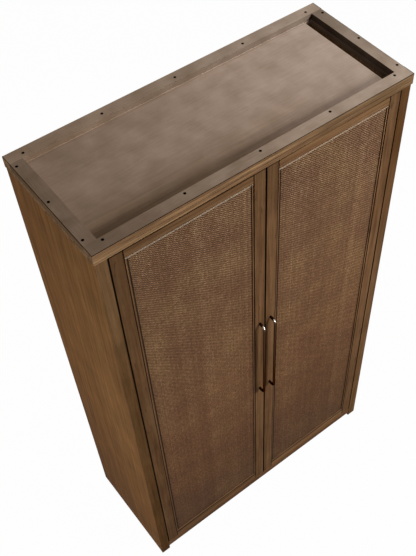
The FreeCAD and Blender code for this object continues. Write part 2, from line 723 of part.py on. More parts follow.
def left_door():
    """The pieces of the left door, by short name."""
    bottom_ledge = (opening_bottom, opening_bottom + LEDGE_WIDTH)
    top_ledge = (opening_top - LEDGE_WIDTH, opening_top)
    return {
        "hinge_stile": hinge_stile(),
        "meeting_stile": meeting_stile(),
        "bottom_rail": door_rail((door_bottom, opening_bottom), bottom_ledge, opening_bottom, tenon_spans[0]),
        "top_rail": door_rail((opening_top, door_top), top_ledge, opening_top, tenon_spans[1]),
        "backing_panel": door_sheet(cane_back, ledge_y),
        "cane_panel": door_sheet(cane_front, cane_back),
        "hinge_bead": upright_bead(opening_left, RIGHTWARD),
        "meeting_bead": upright_bead(opening_right, LEFTWARD),
        "bottom_bead": level_bead(opening_bottom, UP),
        "top_bead": level_bead(opening_top, DOWN),
        "pull": pull(),
        "pull_screws": Part.makeCompound([pull_screw(z) for z in pull_heights()]),
        "bushes": Part.makeCompound([bush(door_bottom, UP), bush(door_top, DOWN)]),
        "strike": strike(),
    }


def carcass():
    """The pieces that stand still, by name."""
    side = left_side_panel()
    side_rail = gallery_left_rail()
    pins = [shelf_pin(y, z) for y, z in shelf_pin_places() if lies_at(z, bottle_bottom - SHELF_PIN_RADIUS)]
    glides = [glide(place) for place in glide_places()]
    neck_front = shelf_front + CRADLE_INSET
    body_front = neck_front + CRADLE_SPACING
    pieces = {
        "left_side_panel": side,
        "right_side_panel": mirrored(side),
        "base_board": base_board(),
        "top_board": top_board(),
        "top_front_rail": gallery_long_rail(top_front, recess_front, top_front),
        "top_back_rail": gallery_long_rail(recess_back, back_y, back_y),
        "top_left_rail": side_rail,
        "top_right_rail": mirrored(side_rail),
        "top_frame_screws": Part.makeCompound([top_screw(place) for place in top_screw_places()]),
        "back_panel": back_panel(),
        "counter_shelf": housed_shelf(counter_bottom, COUNTER_THICKNESS),
        "stemware_shelf": housed_shelf(stemware_bottom, STEMWARE_SHELF_THICKNESS),
        "bottle_shelf": bottle_shelf(),
        "shelf_pins": Part.makeCompound(pins + [mirrored(piece) for piece in pins]),
        "neck_cradle": bottle_cradle(neck_front, NECK_CRADLE_HEIGHT, NECK_SCALLOP_RADIUS),
        "body_cradle": bottle_cradle(body_front, BODY_CRADLE_HEIGHT, BODY_SCALLOP_RADIUS),
        "door_stop_rail": stop_rail(),
        "left_catch": catch(),
        "right_catch": mirrored(catch()),
        "left_top_pivot": top_pivot(),
        "left_bottom_pivot": bottom_pivot(),
        "right_top_pivot": mirrored(top_pivot()),
        "right_bottom_pivot": mirrored(bottom_pivot()),
        "floor_glides": Part.makeCompound(glides + [mirrored(piece) for piece in glides]),
    }
    rail_pitch = STEMWARE_FLANGE_WIDTH + STEMWARE_SLOT
    for number, x in enumerate(centred(rail_pitch, STEMWARE_RAILS), start=1):
        pieces[f"stemware_rail_{number}"] = stemware_rail(x)
    return pieces


nodes = carcass()
for short_name, piece in left_door().items():
    nodes[f"left_door_{short_name}"] = piece
    nodes[f"right_door_{short_name}"] = mirrored(piece)

os.makedirs("parts", exist_ok=True)
for node_name, node_shape in nodes.items():
    node_shape.exportStep(f"parts/{node_name}.step")
print(len(nodes), "nodes written")
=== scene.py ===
# %% [markdown]
# # The looks of a bar armoire
# The cabinet itself was drawn as solids in CAD and packed with its moving doors. Here that model is loaded as a fixed
# frame in metres, and Blender adds what a solid can't show: stain and grain, the woven cane, metal and soft light.

# %% Load the frame
import math

import bpy
import numpy as np
from mathutils import Matrix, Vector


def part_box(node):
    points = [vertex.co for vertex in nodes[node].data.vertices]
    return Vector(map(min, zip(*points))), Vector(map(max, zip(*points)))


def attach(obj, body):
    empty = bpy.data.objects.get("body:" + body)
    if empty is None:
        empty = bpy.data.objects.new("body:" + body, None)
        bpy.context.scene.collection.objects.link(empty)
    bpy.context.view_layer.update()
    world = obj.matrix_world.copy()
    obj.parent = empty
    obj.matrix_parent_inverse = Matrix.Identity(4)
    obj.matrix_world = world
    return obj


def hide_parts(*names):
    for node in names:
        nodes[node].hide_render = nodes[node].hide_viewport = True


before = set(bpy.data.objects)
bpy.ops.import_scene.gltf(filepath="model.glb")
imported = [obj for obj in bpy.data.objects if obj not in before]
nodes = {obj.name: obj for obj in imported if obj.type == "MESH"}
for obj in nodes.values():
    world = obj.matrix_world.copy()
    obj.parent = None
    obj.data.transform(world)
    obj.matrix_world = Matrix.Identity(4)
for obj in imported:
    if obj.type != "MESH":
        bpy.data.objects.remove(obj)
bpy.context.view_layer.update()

# %% [markdown]
# ## Camera
# The photograph looks down on the cabinet from the left front corner, from about twice its height. The numbers come
# from fitting a pinhole camera to the corners of the cabinet: where the eye stands, which way it looks, how long the
# lens is, and where its axis meets the picture. The picture was cropped off centre, and the lens shift repeats that.

# %% Camera
MM = 0.001
IMAGE_WIDTH = 416
IMAGE_HEIGHT = 556
SENSOR_HEIGHT = 36.0
FOCAL_PIXELS = 862.7
AXIS_PIXEL = (250.3, 290.9)
EYE = np.array([-998.8, -1399.6, 3333.8]) * MM
HEADING = math.radians(37.97)
DESCENT = math.radians(52.58)
ROLL = math.radians(-0.70)

forward = np.array([
    math.sin(HEADING) * math.cos(DESCENT), math.cos(HEADING) * math.cos(DESCENT), -math.sin(DESCENT)
])
level = np.cross(forward, (0, 0, 1))
level /= np.linalg.norm(level)
upright = np.cross(level, forward)
right = math.cos(ROLL) * level + math.sin(ROLL) * upright
up = math.cos(ROLL) * upright - math.sin(ROLL) * level

lens = bpy.data.cameras.new("view")
lens.sensor_fit = "VERTICAL"
lens.sensor_height = SENSOR_HEIGHT
lens.lens = FOCAL_PIXELS / IMAGE_HEIGHT * SENSOR_HEIGHT
lens.shift_x = (IMAGE_WIDTH / 2 - AXIS_PIXEL[0]) / IMAGE_HEIGHT
lens.shift_y = (AXIS_PIXEL[1] - IMAGE_HEIGHT / 2) / IMAGE_HEIGHT
camera = bpy.data.objects.new("view", lens)
camera.matrix_world = Matrix(np.vstack([np.column_stack([right, up, -forward, EYE]), (0, 0, 0, 1)]).tolist())
bpy.context.scene.collection.objects.link(camera)
bpy.context.scene.camera = camera
print("lens", round(lens.lens, 2), "mm, shift", round(lens.shift_x, 4), round(lens.shift_y, 4))

# %% [markdown]
# ## Small helpers for finishes
# Colours are written in sRGB hex, as a colour picker shows them, and one function turns them into the linear numbers
# that a shader works with. A second function adds any shader node: its settings, the stops of its colour ramp if it
# has one, and its inputs, where another node's output is linked and a plain value is set. The rest only spell out
# inputs and stops, so that the numbers of a pattern can stay together under one name.

# %% Helpers for finishes
def linear(hex_colour):
    """An sRGB hex colour as linear RGBA: each part over 12.92 near black, else ((part + 0.055) / 1.055) ** 2.4."""
    part = np.array([int(hex_colour[start:start + 2], 16) for start in (1, 3, 5)]) / 255
    rgb = np.where(part <= 0.04045, part / 12.92, ((part + 0.055) / 1.055) ** 2.4)
    return (*rgb.tolist(), 1.0)


def add(tree, kind, inputs, settings=(), stops=()):
    """Adds a node of a kind; an input given as a socket is linked, and one given as a value is set."""
    made = tree.nodes.new(kind)
    for key, value in dict(settings).items():
        setattr(made, key, value)
    for index, (position, colour) in enumerate(stops):
        ramp = made.color_ramp.elements
        stop = ramp[index] if index < 2 else ramp.new(position)
        stop.position = position
        stop.color = colour
    for key, value in inputs.items():
        if isinstance(value, bpy.types.NodeSocket):
            tree.links.new(value, made.inputs[key])
        else:
            made.inputs[key].default_value = value
    return made


def limits(values):
    """Inputs of a map range: where it starts and ends, and if given its results at both."""
    return dict(enumerate(values, 1))


def pattern(values):
    """Inputs of a noise: its width in metres, its detail, its roughness and if given its distortion."""
    width, *others = values
    return {"Scale": 1 / width, **dict(zip(("Detail", "Roughness", "Distortion"), others))}


def tone_stops(tones, spread):
    """Stops of a colour ramp for three hex tones: the middle one at 0.5, the others a spread to either side."""
    dark, middle, light = (linear(tone) for tone in tones)
    return (0.5 - spread, dark), (0.5 + spread, light), (0.5, middle)


def new_finish(name):
    """An empty material and its node tree."""
    material = bpy.data.materials.new(name)
    material.use_nodes = True
    material.node_tree.nodes.clear()
    return material, material.node_tree


print("a mid brown in linear light:", [round(part, 3) for part in linear("#6a4c32")])

# %% [markdown]
# ## Studio
# The cabinet stands in a white studio. A soft lamp in front, to the right and above makes the shadows that the pulls
# throw to the left; it stands close, so the doors darken towards the floor and to the left. A panel on the left fills
# the side, one over the right end lights the top, and a weak one low on the right lifts the feet. Two
# more stand beside the right side and behind the back, for views from there.

# %% Lamps
def soft_lamp(name, place, target, size, watts):
    """A square area lamp at a place, turned so that it faces a target."""
    light = bpy.data.lights.new(name, "AREA")
    light.shape = "SQUARE"
    light.size = size
    light.energy = watts
    lamp = bpy.data.objects.new(name, light)
    aim = np.array(target) - np.array(place)
    back = -aim / np.linalg.norm(aim)
    across = np.cross((0, 0, 1), back)
    across /= np.linalg.norm(across)
    turn = np.column_stack([across, np.cross(back, across), back, place])
    lamp.matrix_world = Matrix(np.vstack([turn, (0, 0, 0, 1)]).tolist())
    bpy.context.scene.collection.objects.link(lamp)


soft_lamp("key_panel", (1.35, -2.5, 2.85), (0.0, -0.2, 1.1), 0.6, 92.0)
soft_lamp("left_panel", (-2.5, -0.5, 0.95), (-0.5, -0.1, 0.95), 1.0, 35.0)
soft_lamp("top_panel", (1.3, 0.3, 2.9), (0.4, 0.0, 1.8), 1.0, 24.0)
soft_lamp("low_panel", (2.2, -2.2, 0.9), (0.2, -0.2, 0.6), 1.4, 12.0)
soft_lamp("right_panel", (2.5, 0.5, 0.95), (0.5, 0.1, 0.95), 1.0, 10.0)
soft_lamp("rear_panel", (0.0, 2.6, 0.95), (0.0, 0.2, 0.95), 1.0, 28.0)

# %% [markdown]
# The world fills in the shadows, weakly. What the camera sees of world and floor is plain white, and reflections see
# the same; only a trace of the floor's own grey is left, for a faint shadow at the feet.

# %% World and floor
WHITE = (1, 1, 1, 1)
WORLD_FILL = 0.06
PAPER_GLOW = 0.985
FLOOR_HALF = 9.0


def seen(tree):
    """1 for a ray from the camera, from a reflection or through glass, and 0 for one that only carries light."""
    rays = add(tree, "ShaderNodeLightPath", {}).outputs
    found = rays["Is Camera Ray"]
    for kind in ("Is Glossy Ray", "Is Transmission Ray"):
        found = add(tree, "ShaderNodeMath", {0: found, 1: rays[kind]}, {"operation": "MAXIMUM"}).outputs[0]
    return found


world = bpy.data.worlds.new("white_studio")
bpy.context.scene.world = world
world.use_nodes = True
tree = world.node_tree
tree.nodes.clear()
strength = add(tree, "ShaderNodeMapRange", {"Value": seen(tree), "To Min": WORLD_FILL, "To Max": 1.0})
shine = add(tree, "ShaderNodeBackground", {"Color": WHITE, "Strength": strength.outputs[0]})
add(tree, "ShaderNodeOutputWorld", {"Surface": shine.outputs[0]})

paper, tree = new_finish("white_studio_paper")
share = add(tree, "ShaderNodeMath", {0: seen(tree), 1: PAPER_GLOW}, {"operation": "MULTIPLY"})
matt = add(tree, "ShaderNodeBsdfDiffuse", {"Color": linear("#908f8d")})
glow = add(tree, "ShaderNodeEmission", {"Color": WHITE, "Strength": 1.0})
both = add(tree, "ShaderNodeMixShader", {0: share.outputs[0], 1: matt.outputs[0], 2: glow.outputs[0]})
add(tree, "ShaderNodeOutputMaterial", {"Surface": both.outputs[0]})

floor_mesh = bpy.data.meshes.new("studio_floor")
corners = [(x * FLOOR_HALF, y * FLOOR_HALF, 0) for x, y in ((-1, -1), (1, -1), (1, 1), (-1, 1))]
floor_mesh.from_pydata(corners, [], [(0, 1, 2, 3)])
floor_mesh.materials.append(paper)
floor = bpy.data.objects.new("studio_floor", floor_mesh)
bpy.context.scene.collection.objects.link(floor)
bpy.context.scene.view_settings.view_transform = "Standard"
print("floor:", 2 * FLOOR_HALF, "m wide, of", paper.name)

# %% [markdown]
# ## Stained oak
# The boards are oak, planed, brushed and stained a warm brown under a nearly matt oil. Three things show at this
# distance: streaks and rings that run with the grain, fine dark pores where the stain gathers, and cloudy patches a
# hand across. A few boards have short dark flecks as well. All are noise on the object's own coordinates, in metres,
# and all but the patches are squeezed along the grain, so that a speck becomes a long streak. One function makes the
# finish for any grain and stain, and can lay one more effect over the colour.

# %% Stained oak
STREAKS = (8.0 * MM, 5.0, 0.62, 0.35)
RINGS = (26.0 * MM, 2.0, 0.5, 1.6)
RING_SHARE = 0.4
STREAK_STRETCH = 0.035
PORES = (1.8 * MM, 2.0, 0.6)
PORE_DIM = (0.56, 0.7, 1.0, 0.78)
PORE_DEPTH = 0.25 * MM
CLOUDS = (110.0 * MM, 3.0, 0.55)
CLOUD_DIM = (0.3, 0.7, 0.86, 1.14)
FLECKS = (12.0 * MM, 2.0, 0.55, 0.8)
FLECK_STRETCH = 0.18
FLECK_ENDS = (0.63, 0.72)
OAK_ROUGHNESS = (0.0, 1.0, 0.72, 0.56)


def stained_oak(name, grain, stain, over=None, spread=0.2, flecks=1.0):
    """Oak with its grain along an axis: streaks pick the tone, pores and clouds darken it, pores dent it.

    The stain is three hex colours from dark to light, reached a spread to either side of the middle of the noise;
    over takes the tree, the place and the colour and returns a new colour; flecks dim a few short dark streaks.
    """
    material, tree = new_finish(name)
    place = add(tree, "ShaderNodeTexCoord", {}).outputs["Object"]

    def squeezed(share):
        """The place, squeezed along the grain so that a noise on it gets long."""
        scale = [share if axis == grain else 1.0 for axis in "xyz"]
        return add(tree, "ShaderNodeMapping", {"Vector": place, "Scale": scale}).outputs[0]

    along = squeezed(STREAK_STRETCH)
    streaks = add(tree, "ShaderNodeTexNoise", {"Vector": along, **pattern(STREAKS)}).outputs["Fac"]
    rings = add(tree, "ShaderNodeTexNoise", {"Vector": along, **pattern(RINGS)}).outputs["Fac"]
    pores = add(tree, "ShaderNodeTexNoise", {"Vector": along, **pattern(PORES)}).outputs["Fac"]
    clouds = add(tree, "ShaderNodeTexNoise", {"Vector": place, **pattern(CLOUDS)}).outputs["Fac"]
    figure = add(tree, "ShaderNodeMix", {0: RING_SHARE, 2: streaks, 3: rings}, {"data_type": "FLOAT"}).outputs[0]
    tone = add(tree, "ShaderNodeValToRGB", {"Fac": figure}, stops=tone_stops(stain, spread)).outputs[0]
    speck = add(tree, "ShaderNodeMapRange", {"Value": pores, **limits(PORE_DIM)}).outputs[0]
    patch = add(tree, "ShaderNodeMapRange", {"Value": clouds, **limits(CLOUD_DIM)}).outputs[0]
    shade = add(tree, "ShaderNodeMath", {0: speck, 1: patch}, {"operation": "MULTIPLY"}).outputs[0]
    colour = add(tree, "ShaderNodeVectorMath", {0: tone, "Scale": shade}, {"operation": "SCALE"}).outputs[0]
    if flecks < 1:
        fleck = add(tree, "ShaderNodeTexNoise", {"Vector": squeezed(FLECK_STRETCH), **pattern(FLECKS)}).outputs["Fac"]
        fleck = add(tree, "ShaderNodeMapRange", {"Value": fleck, **limits((*FLECK_ENDS, 1.0, flecks))}).outputs[0]
        colour = add(tree, "ShaderNodeVectorMath", {0: colour, "Scale": fleck}, {"operation": "SCALE"}).outputs[0]
    if over:
        colour = over(tree, place, colour)
    rough = add(tree, "ShaderNodeMapRange", {"Value": figure, **limits(OAK_ROUGHNESS)}).outputs[0]
    dents = add(tree, "ShaderNodeBump", {"Height": speck, "Strength": 0.35, "Distance": PORE_DEPTH}).outputs[0]
    skin = add(tree, "ShaderNodeBsdfPrincipled", {
        "Base Color": colour, "Roughness": rough, "Normal": dents, "IOR": 1.47, "Specular IOR Level": 0.015
    })
    add(tree, "ShaderNodeOutputMaterial", {"Surface": skin.outputs[0]})
    return material


INSIDE_STAIN = ("#51371f", "#67482c", "#785838")
oak_across = stained_oak("stained_oak_across", "x", INSIDE_STAIN)
oak_deep = stained_oak("stained_oak_deep", "y", INSIDE_STAIN)
oak_base = stained_oak("stained_oak_base", "x", ("#553a24", "#6b4b31", "#7c5b3f"))
oak_veneer = stained_oak("stained_oak_veneer", "z", ("#5a3f28", "#684a30", "#74563a"))
print("oak finishes:", oak_across.name, oak_deep.name, oak_base.name, oak_veneer.name)

# %% [markdown]
# ## Steps that effects share
# An effect changes the colour of a finish by place. Three steps come back in several of them: how far a value lies
# outside a span, a colour that is dimmed where a mask says so, and a colour that is tinted along a run.

# %% Helpers for effects
def beyond(tree, value, span):
    """How far a value lies outside a span: |value - middle| - half, so less than zero inside it."""
    low, high = span
    far = add(tree, "ShaderNodeMath", {0: value, 1: (low + high) / 2}, {"operation": "SUBTRACT"}).outputs[0]
    far = add(tree, "ShaderNodeMath", {0: far}, {"operation": "ABSOLUTE"}).outputs[0]
    return add(tree, "ShaderNodeMath", {0: far, 1: (high - low) / 2}, {"operation": "SUBTRACT"}).outputs[0]


def dimmed(tree, colour, mask, share):
    """A colour that goes down to a share of itself where a mask is 1."""
    dim = add(tree, "ShaderNodeMapRange", {"Value": mask, 3: 1.0, 4: share}).outputs[0]
    return add(tree, "ShaderNodeVectorMath", {0: colour, "Scale": dim}, {"operation": "SCALE"}).outputs[0]


def tinted(tree, colour, value, run, stops):
    """A colour times the tints of a ramp, whose stops lie along a run of a value."""
    share = add(tree, "ShaderNodeMapRange", {"Value": value, **limits(run)}).outputs[0]
    tint = add(tree, "ShaderNodeValToRGB", {"Fac": share}, stops=stops).outputs[0]
    return add(tree, "ShaderNodeVectorMath", {0: colour, 1: tint}, {"operation": "MULTIPLY"}).outputs[0]


print("steps for effects:", [step.__name__ for step in (beyond, dimmed, tinted)])

# %% [markdown]
# ## Painted shade in the quirks of the doors
# Around each cane panel lies a crowned bead, with a narrow quirk between bead and frame that gets painted shade.
# The effect works by place: close to the outline of the beads, whatever lies deeper than the door's face turns dark.

# %% Quirks
OPENING_X = [abs(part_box(f"right_door_{end}_bead")[row][0]) for end, row in (("meeting", 0), ("hinge", 1))]
OPENING_Z = [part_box(f"right_door_{end}_bead")[row][2] for end, row in (("bottom", 0), ("top", 1))]
DOOR_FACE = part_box("right_door_hinge_stile")[0][1]
# Painted shade in the quirks and along their outline: depths, widths and how dark it gets.
FRAME_QUIRK = (2.2 * MM, 3.2 * MM, 1.7 * MM)
BEAD_QUIRK = (2.0 * MM, 3.0 * MM, 0.3 * MM)
QUIRK_REACH = 1.3 * MM
QUIRK_SLACK = 0.2 * MM
QUIRK_SHADE = 0.14
FACE_DEPTH = 1.5 * MM


def painted_quirk_shade(first, last, line):
    """An effect: painted shade, a colour fading to near black in the creases around the opening of a door.

    It does so just inside the outline of the beads from a first to a last depth behind the door's face, and near the
    face within a line's width of that outline and of the V joints, which carry its upright edges on through the rails.
    """
    def over(tree, place, colour):
        x, depth, z = add(tree, "ShaderNodeSeparateXYZ", {0: place}).outputs
        width = add(tree, "ShaderNodeMath", {0: x}, {"operation": "ABSOLUTE"}).outputs[0]
        aside = beyond(tree, width, OPENING_X)
        above = beyond(tree, z, OPENING_Z)
        outside = add(tree, "ShaderNodeMath", {0: aside, 1: above}, {"operation": "MAXIMUM"}).outputs[0]
        inside = add(tree, "ShaderNodeMath", {0: outside, 1: -QUIRK_REACH / 2, 2: QUIRK_REACH / 2 + QUIRK_SLACK},
                     {"operation": "COMPARE"}).outputs[0]
        deep = add(tree, "ShaderNodeMapRange", {"Value": depth, 1: DOOR_FACE + first, 2: DOOR_FACE + last}).outputs[0]
        quirk = add(tree, "ShaderNodeMath", {0: inside, 1: deep}, {"operation": "MULTIPLY"}).outputs[0]
        edges = [add(tree, "ShaderNodeMath", {0: far, 1: 0.0, 2: line}, {"operation": "COMPARE"}).outputs[0]
                 for far in (outside, aside)]
        edge = add(tree, "ShaderNodeMath", {0: edges[0], 1: edges[1]}, {"operation": "MAXIMUM"}).outputs[0]
        near = add(tree, "ShaderNodeMath", {0: depth, 1: DOOR_FACE + FACE_DEPTH}, {"operation": "LESS_THAN"}).outputs[0]
        edge = add(tree, "ShaderNodeMath", {0: edge, 1: near}, {"operation": "MULTIPLY"}).outputs[0]
        most = add(tree, "ShaderNodeMath", {0: quirk, 1: edge}, {"operation": "MAXIMUM"}).outputs[0]
        return dimmed(tree, colour, most, QUIRK_SHADE)
    return over


print("the opening of a door:", [round(value / MM, 1) for value in OPENING_X + OPENING_Z], "mm")

# %% [markdown]
# ## Door frames
# Painted shade darkens the edges of the doors at the mouth of a gap beside them, and a painted shadow makes a thin
# dark line under the top, more so on the left. Two gradients also grade the colour of the frames, one across the
# doors and one from foot to head.

# %% Door frames
DOOR_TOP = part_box("right_door_hinge_stile")[1][2]
DOOR_SPAN = (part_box("right_door_meeting_stile")[0][0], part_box("right_door_hinge_stile")[1][0])
# Painted shade at the mouth of the gaps beside the doors, and a painted shadow line under the top.
ARRIS_LINE = 1.2 * MM
GAP_MOUTH = (DOOR_FACE + 4.5 * MM, DOOR_FACE + 7.0 * MM, 1.0, 0.0)
GAP_SHADE_DIM = 0.14
HEAD_SHADOW = (DOOR_TOP - 4.6 * MM, DOOR_TOP - 2.8 * MM)
HEAD_SHADOW_SHARE = (-0.05, 0.15, 0.82, 0.29)
FRAME_STAIN = ("#523822", "#6a4c32", "#7c5e41")


def at_mouth(tree, depth, mask):
    """A mask that is kept only at the mouth of a gap beside a door."""
    mouth = add(tree, "ShaderNodeMapRange", {"Value": depth, **limits(GAP_MOUTH)}).outputs[0]
    return add(tree, "ShaderNodeMath", {0: mask, 1: mouth}, {"operation": "MULTIPLY"}).outputs[0]


def door_frame(across, height):
    """An effect: painted shade in quirks and at the gaps, a painted shadow line under the top, and two gradients.

    Both gradients are (from, to, factor, factor): across runs along x, height along z.
    """
    def over(tree, place, colour):
        colour = painted_quirk_shade(*FRAME_QUIRK)(tree, place, colour)
        x, y, z = add(tree, "ShaderNodeSeparateXYZ", {0: place}).outputs
        width = add(tree, "ShaderNodeMath", {0: x}, {"operation": "ABSOLUTE"}).outputs[0]
        outside = beyond(tree, width, DOOR_SPAN)
        outer = add(tree, "ShaderNodeMath", {0: outside, 1: -ARRIS_LINE}, {"operation": "GREATER_THAN"}).outputs[0]
        outer = at_mouth(tree, y, outer)
        head = add(tree, "ShaderNodeMapRange", {"Value": z, **limits(HEAD_SHADOW)}).outputs[0]
        weaker = add(tree, "ShaderNodeMapRange", {"Value": x, **limits(HEAD_SHADOW_SHARE)}).outputs[0]
        head = add(tree, "ShaderNodeMath", {0: head, 1: weaker}, {"operation": "MULTIPLY"}).outputs[0]
        most = add(tree, "ShaderNodeMath", {0: outer, 1: head}, {"operation": "MAXIMUM"}).outputs[0]
        colour = dimmed(tree, colour, most, GAP_SHADE_DIM)
        for value, run in ((x, across), (z, height)):
            graded = add(tree, "ShaderNodeMapRange", {"Value": value, **limits(run)}).outputs[0]
            colour = add(tree, "ShaderNodeVectorMath", {0: colour, "Scale": graded}, {"operation": "SCALE"}).outputs[0]
        return colour
    return over


oak_stile = stained_oak("stained_oak_stile", "z", FRAME_STAIN,
                        door_frame(across=(-0.44, -0.42, 0.84, 1.0), height=(1.25, 1.7, 1.0, 0.77)), flecks=0.6)
oak_rail = stained_oak("stained_oak_rail", "x", FRAME_STAIN,
                       door_frame(across=(-0.3, 0.15, 0.9, 1.06), height=(0.1, 1.7, 1.24, 0.9)), spread=0.14)
print("door frames:", oak_stile.name, oak_rail.name)

# %% [markdown]
# ## Beads
# Where a bead faces up, its crown gets a pale painted highlight: strong at the head of the panel, faint at the foot.
# Across an upright bead, painted shade makes a dark line beside the frame, painted light brightens its crown, and
# painted shade dims it at the cane.

# %% Beads
BEAD_WIDTH = 5.0 * MM
# Painted light and shade across an upright bead: dark beside the frame, a lighter crown, dim at the cane.
BEAD_FRAME_SHADE = (0.14, 0.14, 0.16, 1)
BEAD_CANE_SHADE = (0.3, 0.3, 0.3, 1)
LEFT_CROWN_LIGHT = (1.3, 1.3, 1.4, 1)
RIGHT_CROWN_LIGHT = (1.9, 2.0, 2.25, 1)
CROWN_RISE = 0.08
CROWN_END = 0.82
# A pale painted highlight where a bead faces up: its tone, and the facing where it starts and is full.
CROWN_HIGHLIGHT_TONE = "#d2c2ae"
CROWN_HIGHLIGHT_FACING = (0.2, 0.5)


def painted_crown_highlight(highlight_share):
    """An effect: painted shade in the quirks, and a share of a pale painted highlight where the bead faces up."""
    def over(tree, place, colour):
        colour = painted_quirk_shade(*BEAD_QUIRK)(tree, place, colour)
        facing = add(tree, "ShaderNodeTexCoord", {}).outputs["Normal"]
        up = add(tree, "ShaderNodeSeparateXYZ", {0: facing}).outputs["Z"]
        painted_light = add(tree, "ShaderNodeMapRange", {"Value": up, **limits((*CROWN_HIGHLIGHT_FACING, 0.0, highlight_share))}).outputs[0]
        mixed = {0: painted_light, 6: colour, 7: linear(CROWN_HIGHLIGHT_TONE)}
        return add(tree, "ShaderNodeMix", mixed, {"data_type": "RGBA"}).outputs[2]
    return over


def painted_bead_light_shade(turn, crown_light):
    """An effect: on an upright bead, painted shade up to a turn, painted light on its crown, painted shade at the cane.

    The turn is a share of the bead's width, counted from the frame.
    """
    stops = (turn, BEAD_FRAME_SHADE), (1.0, BEAD_CANE_SHADE), (turn + CROWN_RISE, crown_light), (CROWN_END, crown_light)

    def over(tree, place, colour):
        colour = painted_quirk_shade(*BEAD_QUIRK)(tree, place, colour)
        x = add(tree, "ShaderNodeSeparateXYZ", {0: place}).outputs["X"]
        width = add(tree, "ShaderNodeMath", {0: x}, {"operation": "ABSOLUTE"}).outputs[0]
        return tinted(tree, colour, beyond(tree, width, OPENING_X), (0.0, -BEAD_WIDTH), stops)
    return over


oak_left_bead = stained_oak("stained_oak_left_bead", "z", FRAME_STAIN, painted_bead_light_shade(turn=0.3, crown_light=LEFT_CROWN_LIGHT))
oak_right_bead = stained_oak("stained_oak_right_bead", "z", FRAME_STAIN, painted_bead_light_shade(turn=0.46, crown_light=RIGHT_CROWN_LIGHT))
oak_top_bead = stained_oak("stained_oak_top_bead", "x", FRAME_STAIN, painted_crown_highlight(highlight_share=0.5))
oak_bottom_bead = stained_oak("stained_oak_bottom_bead", "x", FRAME_STAIN, painted_crown_highlight(highlight_share=0.06))
print("beads:", oak_left_bead.name, oak_right_bead.name, oak_top_bead.name, oak_bottom_bead.name)

# %% [markdown]
# ## Side panels
# The sides darken towards the back and the floor, and each front edge drinks the stain its own way. Inside, painted
# shade darkens them at the mouth of the gap beside the door, and painted light brightens them under the slot in the
# top.

# %% Side panels
SIDE_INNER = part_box("right_side_panel")[0][0]
SIDE_HEIGHT = (0.15, 1.0)
SIDE_RUN = ((0.0, (0.77, 0.69, 0.53, 1)), (1.0, (1.0, 0.99, 0.97, 1)))
SIDE_DEPTH = (-0.06, 0.18)
SIDE_BACK = ((0.0, (1.0, 1.0, 1.0, 1)), (1.0, (0.83, 0.77, 0.68, 1)))
FRONT_HEIGHT = (0.25, 1.65)
FRONT_FALL = (((0.68, (0.765, 0.83, 1.09, 1)), (1.0, (1.02, 1.22, 1.9, 1))),
              ((0.0, (1.38, 1.65, 2.8, 1)), (1.0, (0.56, 0.55, 0.67, 1))))
FRONT_FACING = (-0.5, -0.8)
SLOT_HEIGHT = (1.74, 1.77)
SLOT_LIGHT = (3.4, 4.8, 9.0)


def dark_side(tree, place, colour):
    """An effect: a side fades to the back and the floor; each front edge drinks the stain its own way in height.

    Inside, painted shade darkens it at the mouth of the door's gap, and painted light brightens it at the head.
    """
    x, y, z = add(tree, "ShaderNodeSeparateXYZ", {0: place}).outputs
    colour = tinted(tree, colour, z, SIDE_HEIGHT, SIDE_RUN)
    colour = tinted(tree, colour, y, SIDE_DEPTH, SIDE_BACK)
    left, right = (tinted(tree, colour, z, FRONT_HEIGHT, fall) for fall in FRONT_FALL)
    side = add(tree, "ShaderNodeMath", {0: x, 1: 0.0}, {"operation": "GREATER_THAN"}).outputs[0]
    drunk = add(tree, "ShaderNodeMix", {0: side, 6: left, 7: right}, {"data_type": "RGBA"}).outputs[2]
    facing = add(tree, "ShaderNodeTexCoord", {}).outputs["Normal"]
    front = add(tree, "ShaderNodeSeparateXYZ", {0: facing}).outputs["Y"]
    front = add(tree, "ShaderNodeMapRange", {"Value": front, **limits(FRONT_FACING)}).outputs[0]
    colour = add(tree, "ShaderNodeMix", {0: front, 6: colour, 7: drunk}, {"data_type": "RGBA"}).outputs[2]
    width = add(tree, "ShaderNodeMath", {0: x}, {"operation": "ABSOLUTE"}).outputs[0]
    # Inside: painted shade at the mouth of the gap beside the door, painted light under the slot in the top.
    inner = add(tree, "ShaderNodeMath", {0: width, 1: SIDE_INNER + ARRIS_LINE}, {"operation": "LESS_THAN"}).outputs[0]
    slot_light_and_rail_shade = add(tree, "ShaderNodeMapRange", {"Value": z, **limits(SLOT_HEIGHT)}).outputs[0]
    slot_light_and_rail_shade = add(tree, "ShaderNodeMath", {0: slot_light_and_rail_shade, 1: inner}, {"operation": "MULTIPLY"}).outputs[0]
    painted_light = add(tree, "ShaderNodeVectorMath", {0: colour, 1: SLOT_LIGHT}, {"operation": "MULTIPLY"}).outputs[0]
    colour = add(tree, "ShaderNodeMix", {0: slot_light_and_rail_shade, 6: colour, 7: painted_light}, {"data_type": "RGBA"}).outputs[2]
    return dimmed(tree, colour, at_mouth(tree, y, inner), GAP_SHADE_DIM)


oak_side = stained_oak("stained_oak_side", "z", ("#563919", "#6a4926", "#7d5932"), dark_side)
print("sides:", oak_side.name, "from", round(SIDE_INNER, 3), "m outwards")

# %% [markdown]
# ## The top's painted sheen
# Seen from above, the top is greyer than the rest: faces that look up get a painted sheen, a grey reflection painted
# into their colour. It lies in clouds a few centimetres wide over very fine grain, a little warmer on the left.

# %% Tones of the painted sheen
MOTTLE = (70.0 * MM, 3.0, 0.5, 0.2)
FINE_GRAIN = (2.4 * MM, 3.0, 0.65)
GRAIN_SHARE = 0.4
SHEEN_SPREAD = 0.24
WARM_RUN = (-0.42, 0.42)
SHEEN_WARMTH = ((0.0, (1.06, 1.0, 0.94, 1)), (1.0, (0.97, 1.0, 1.04, 1)))


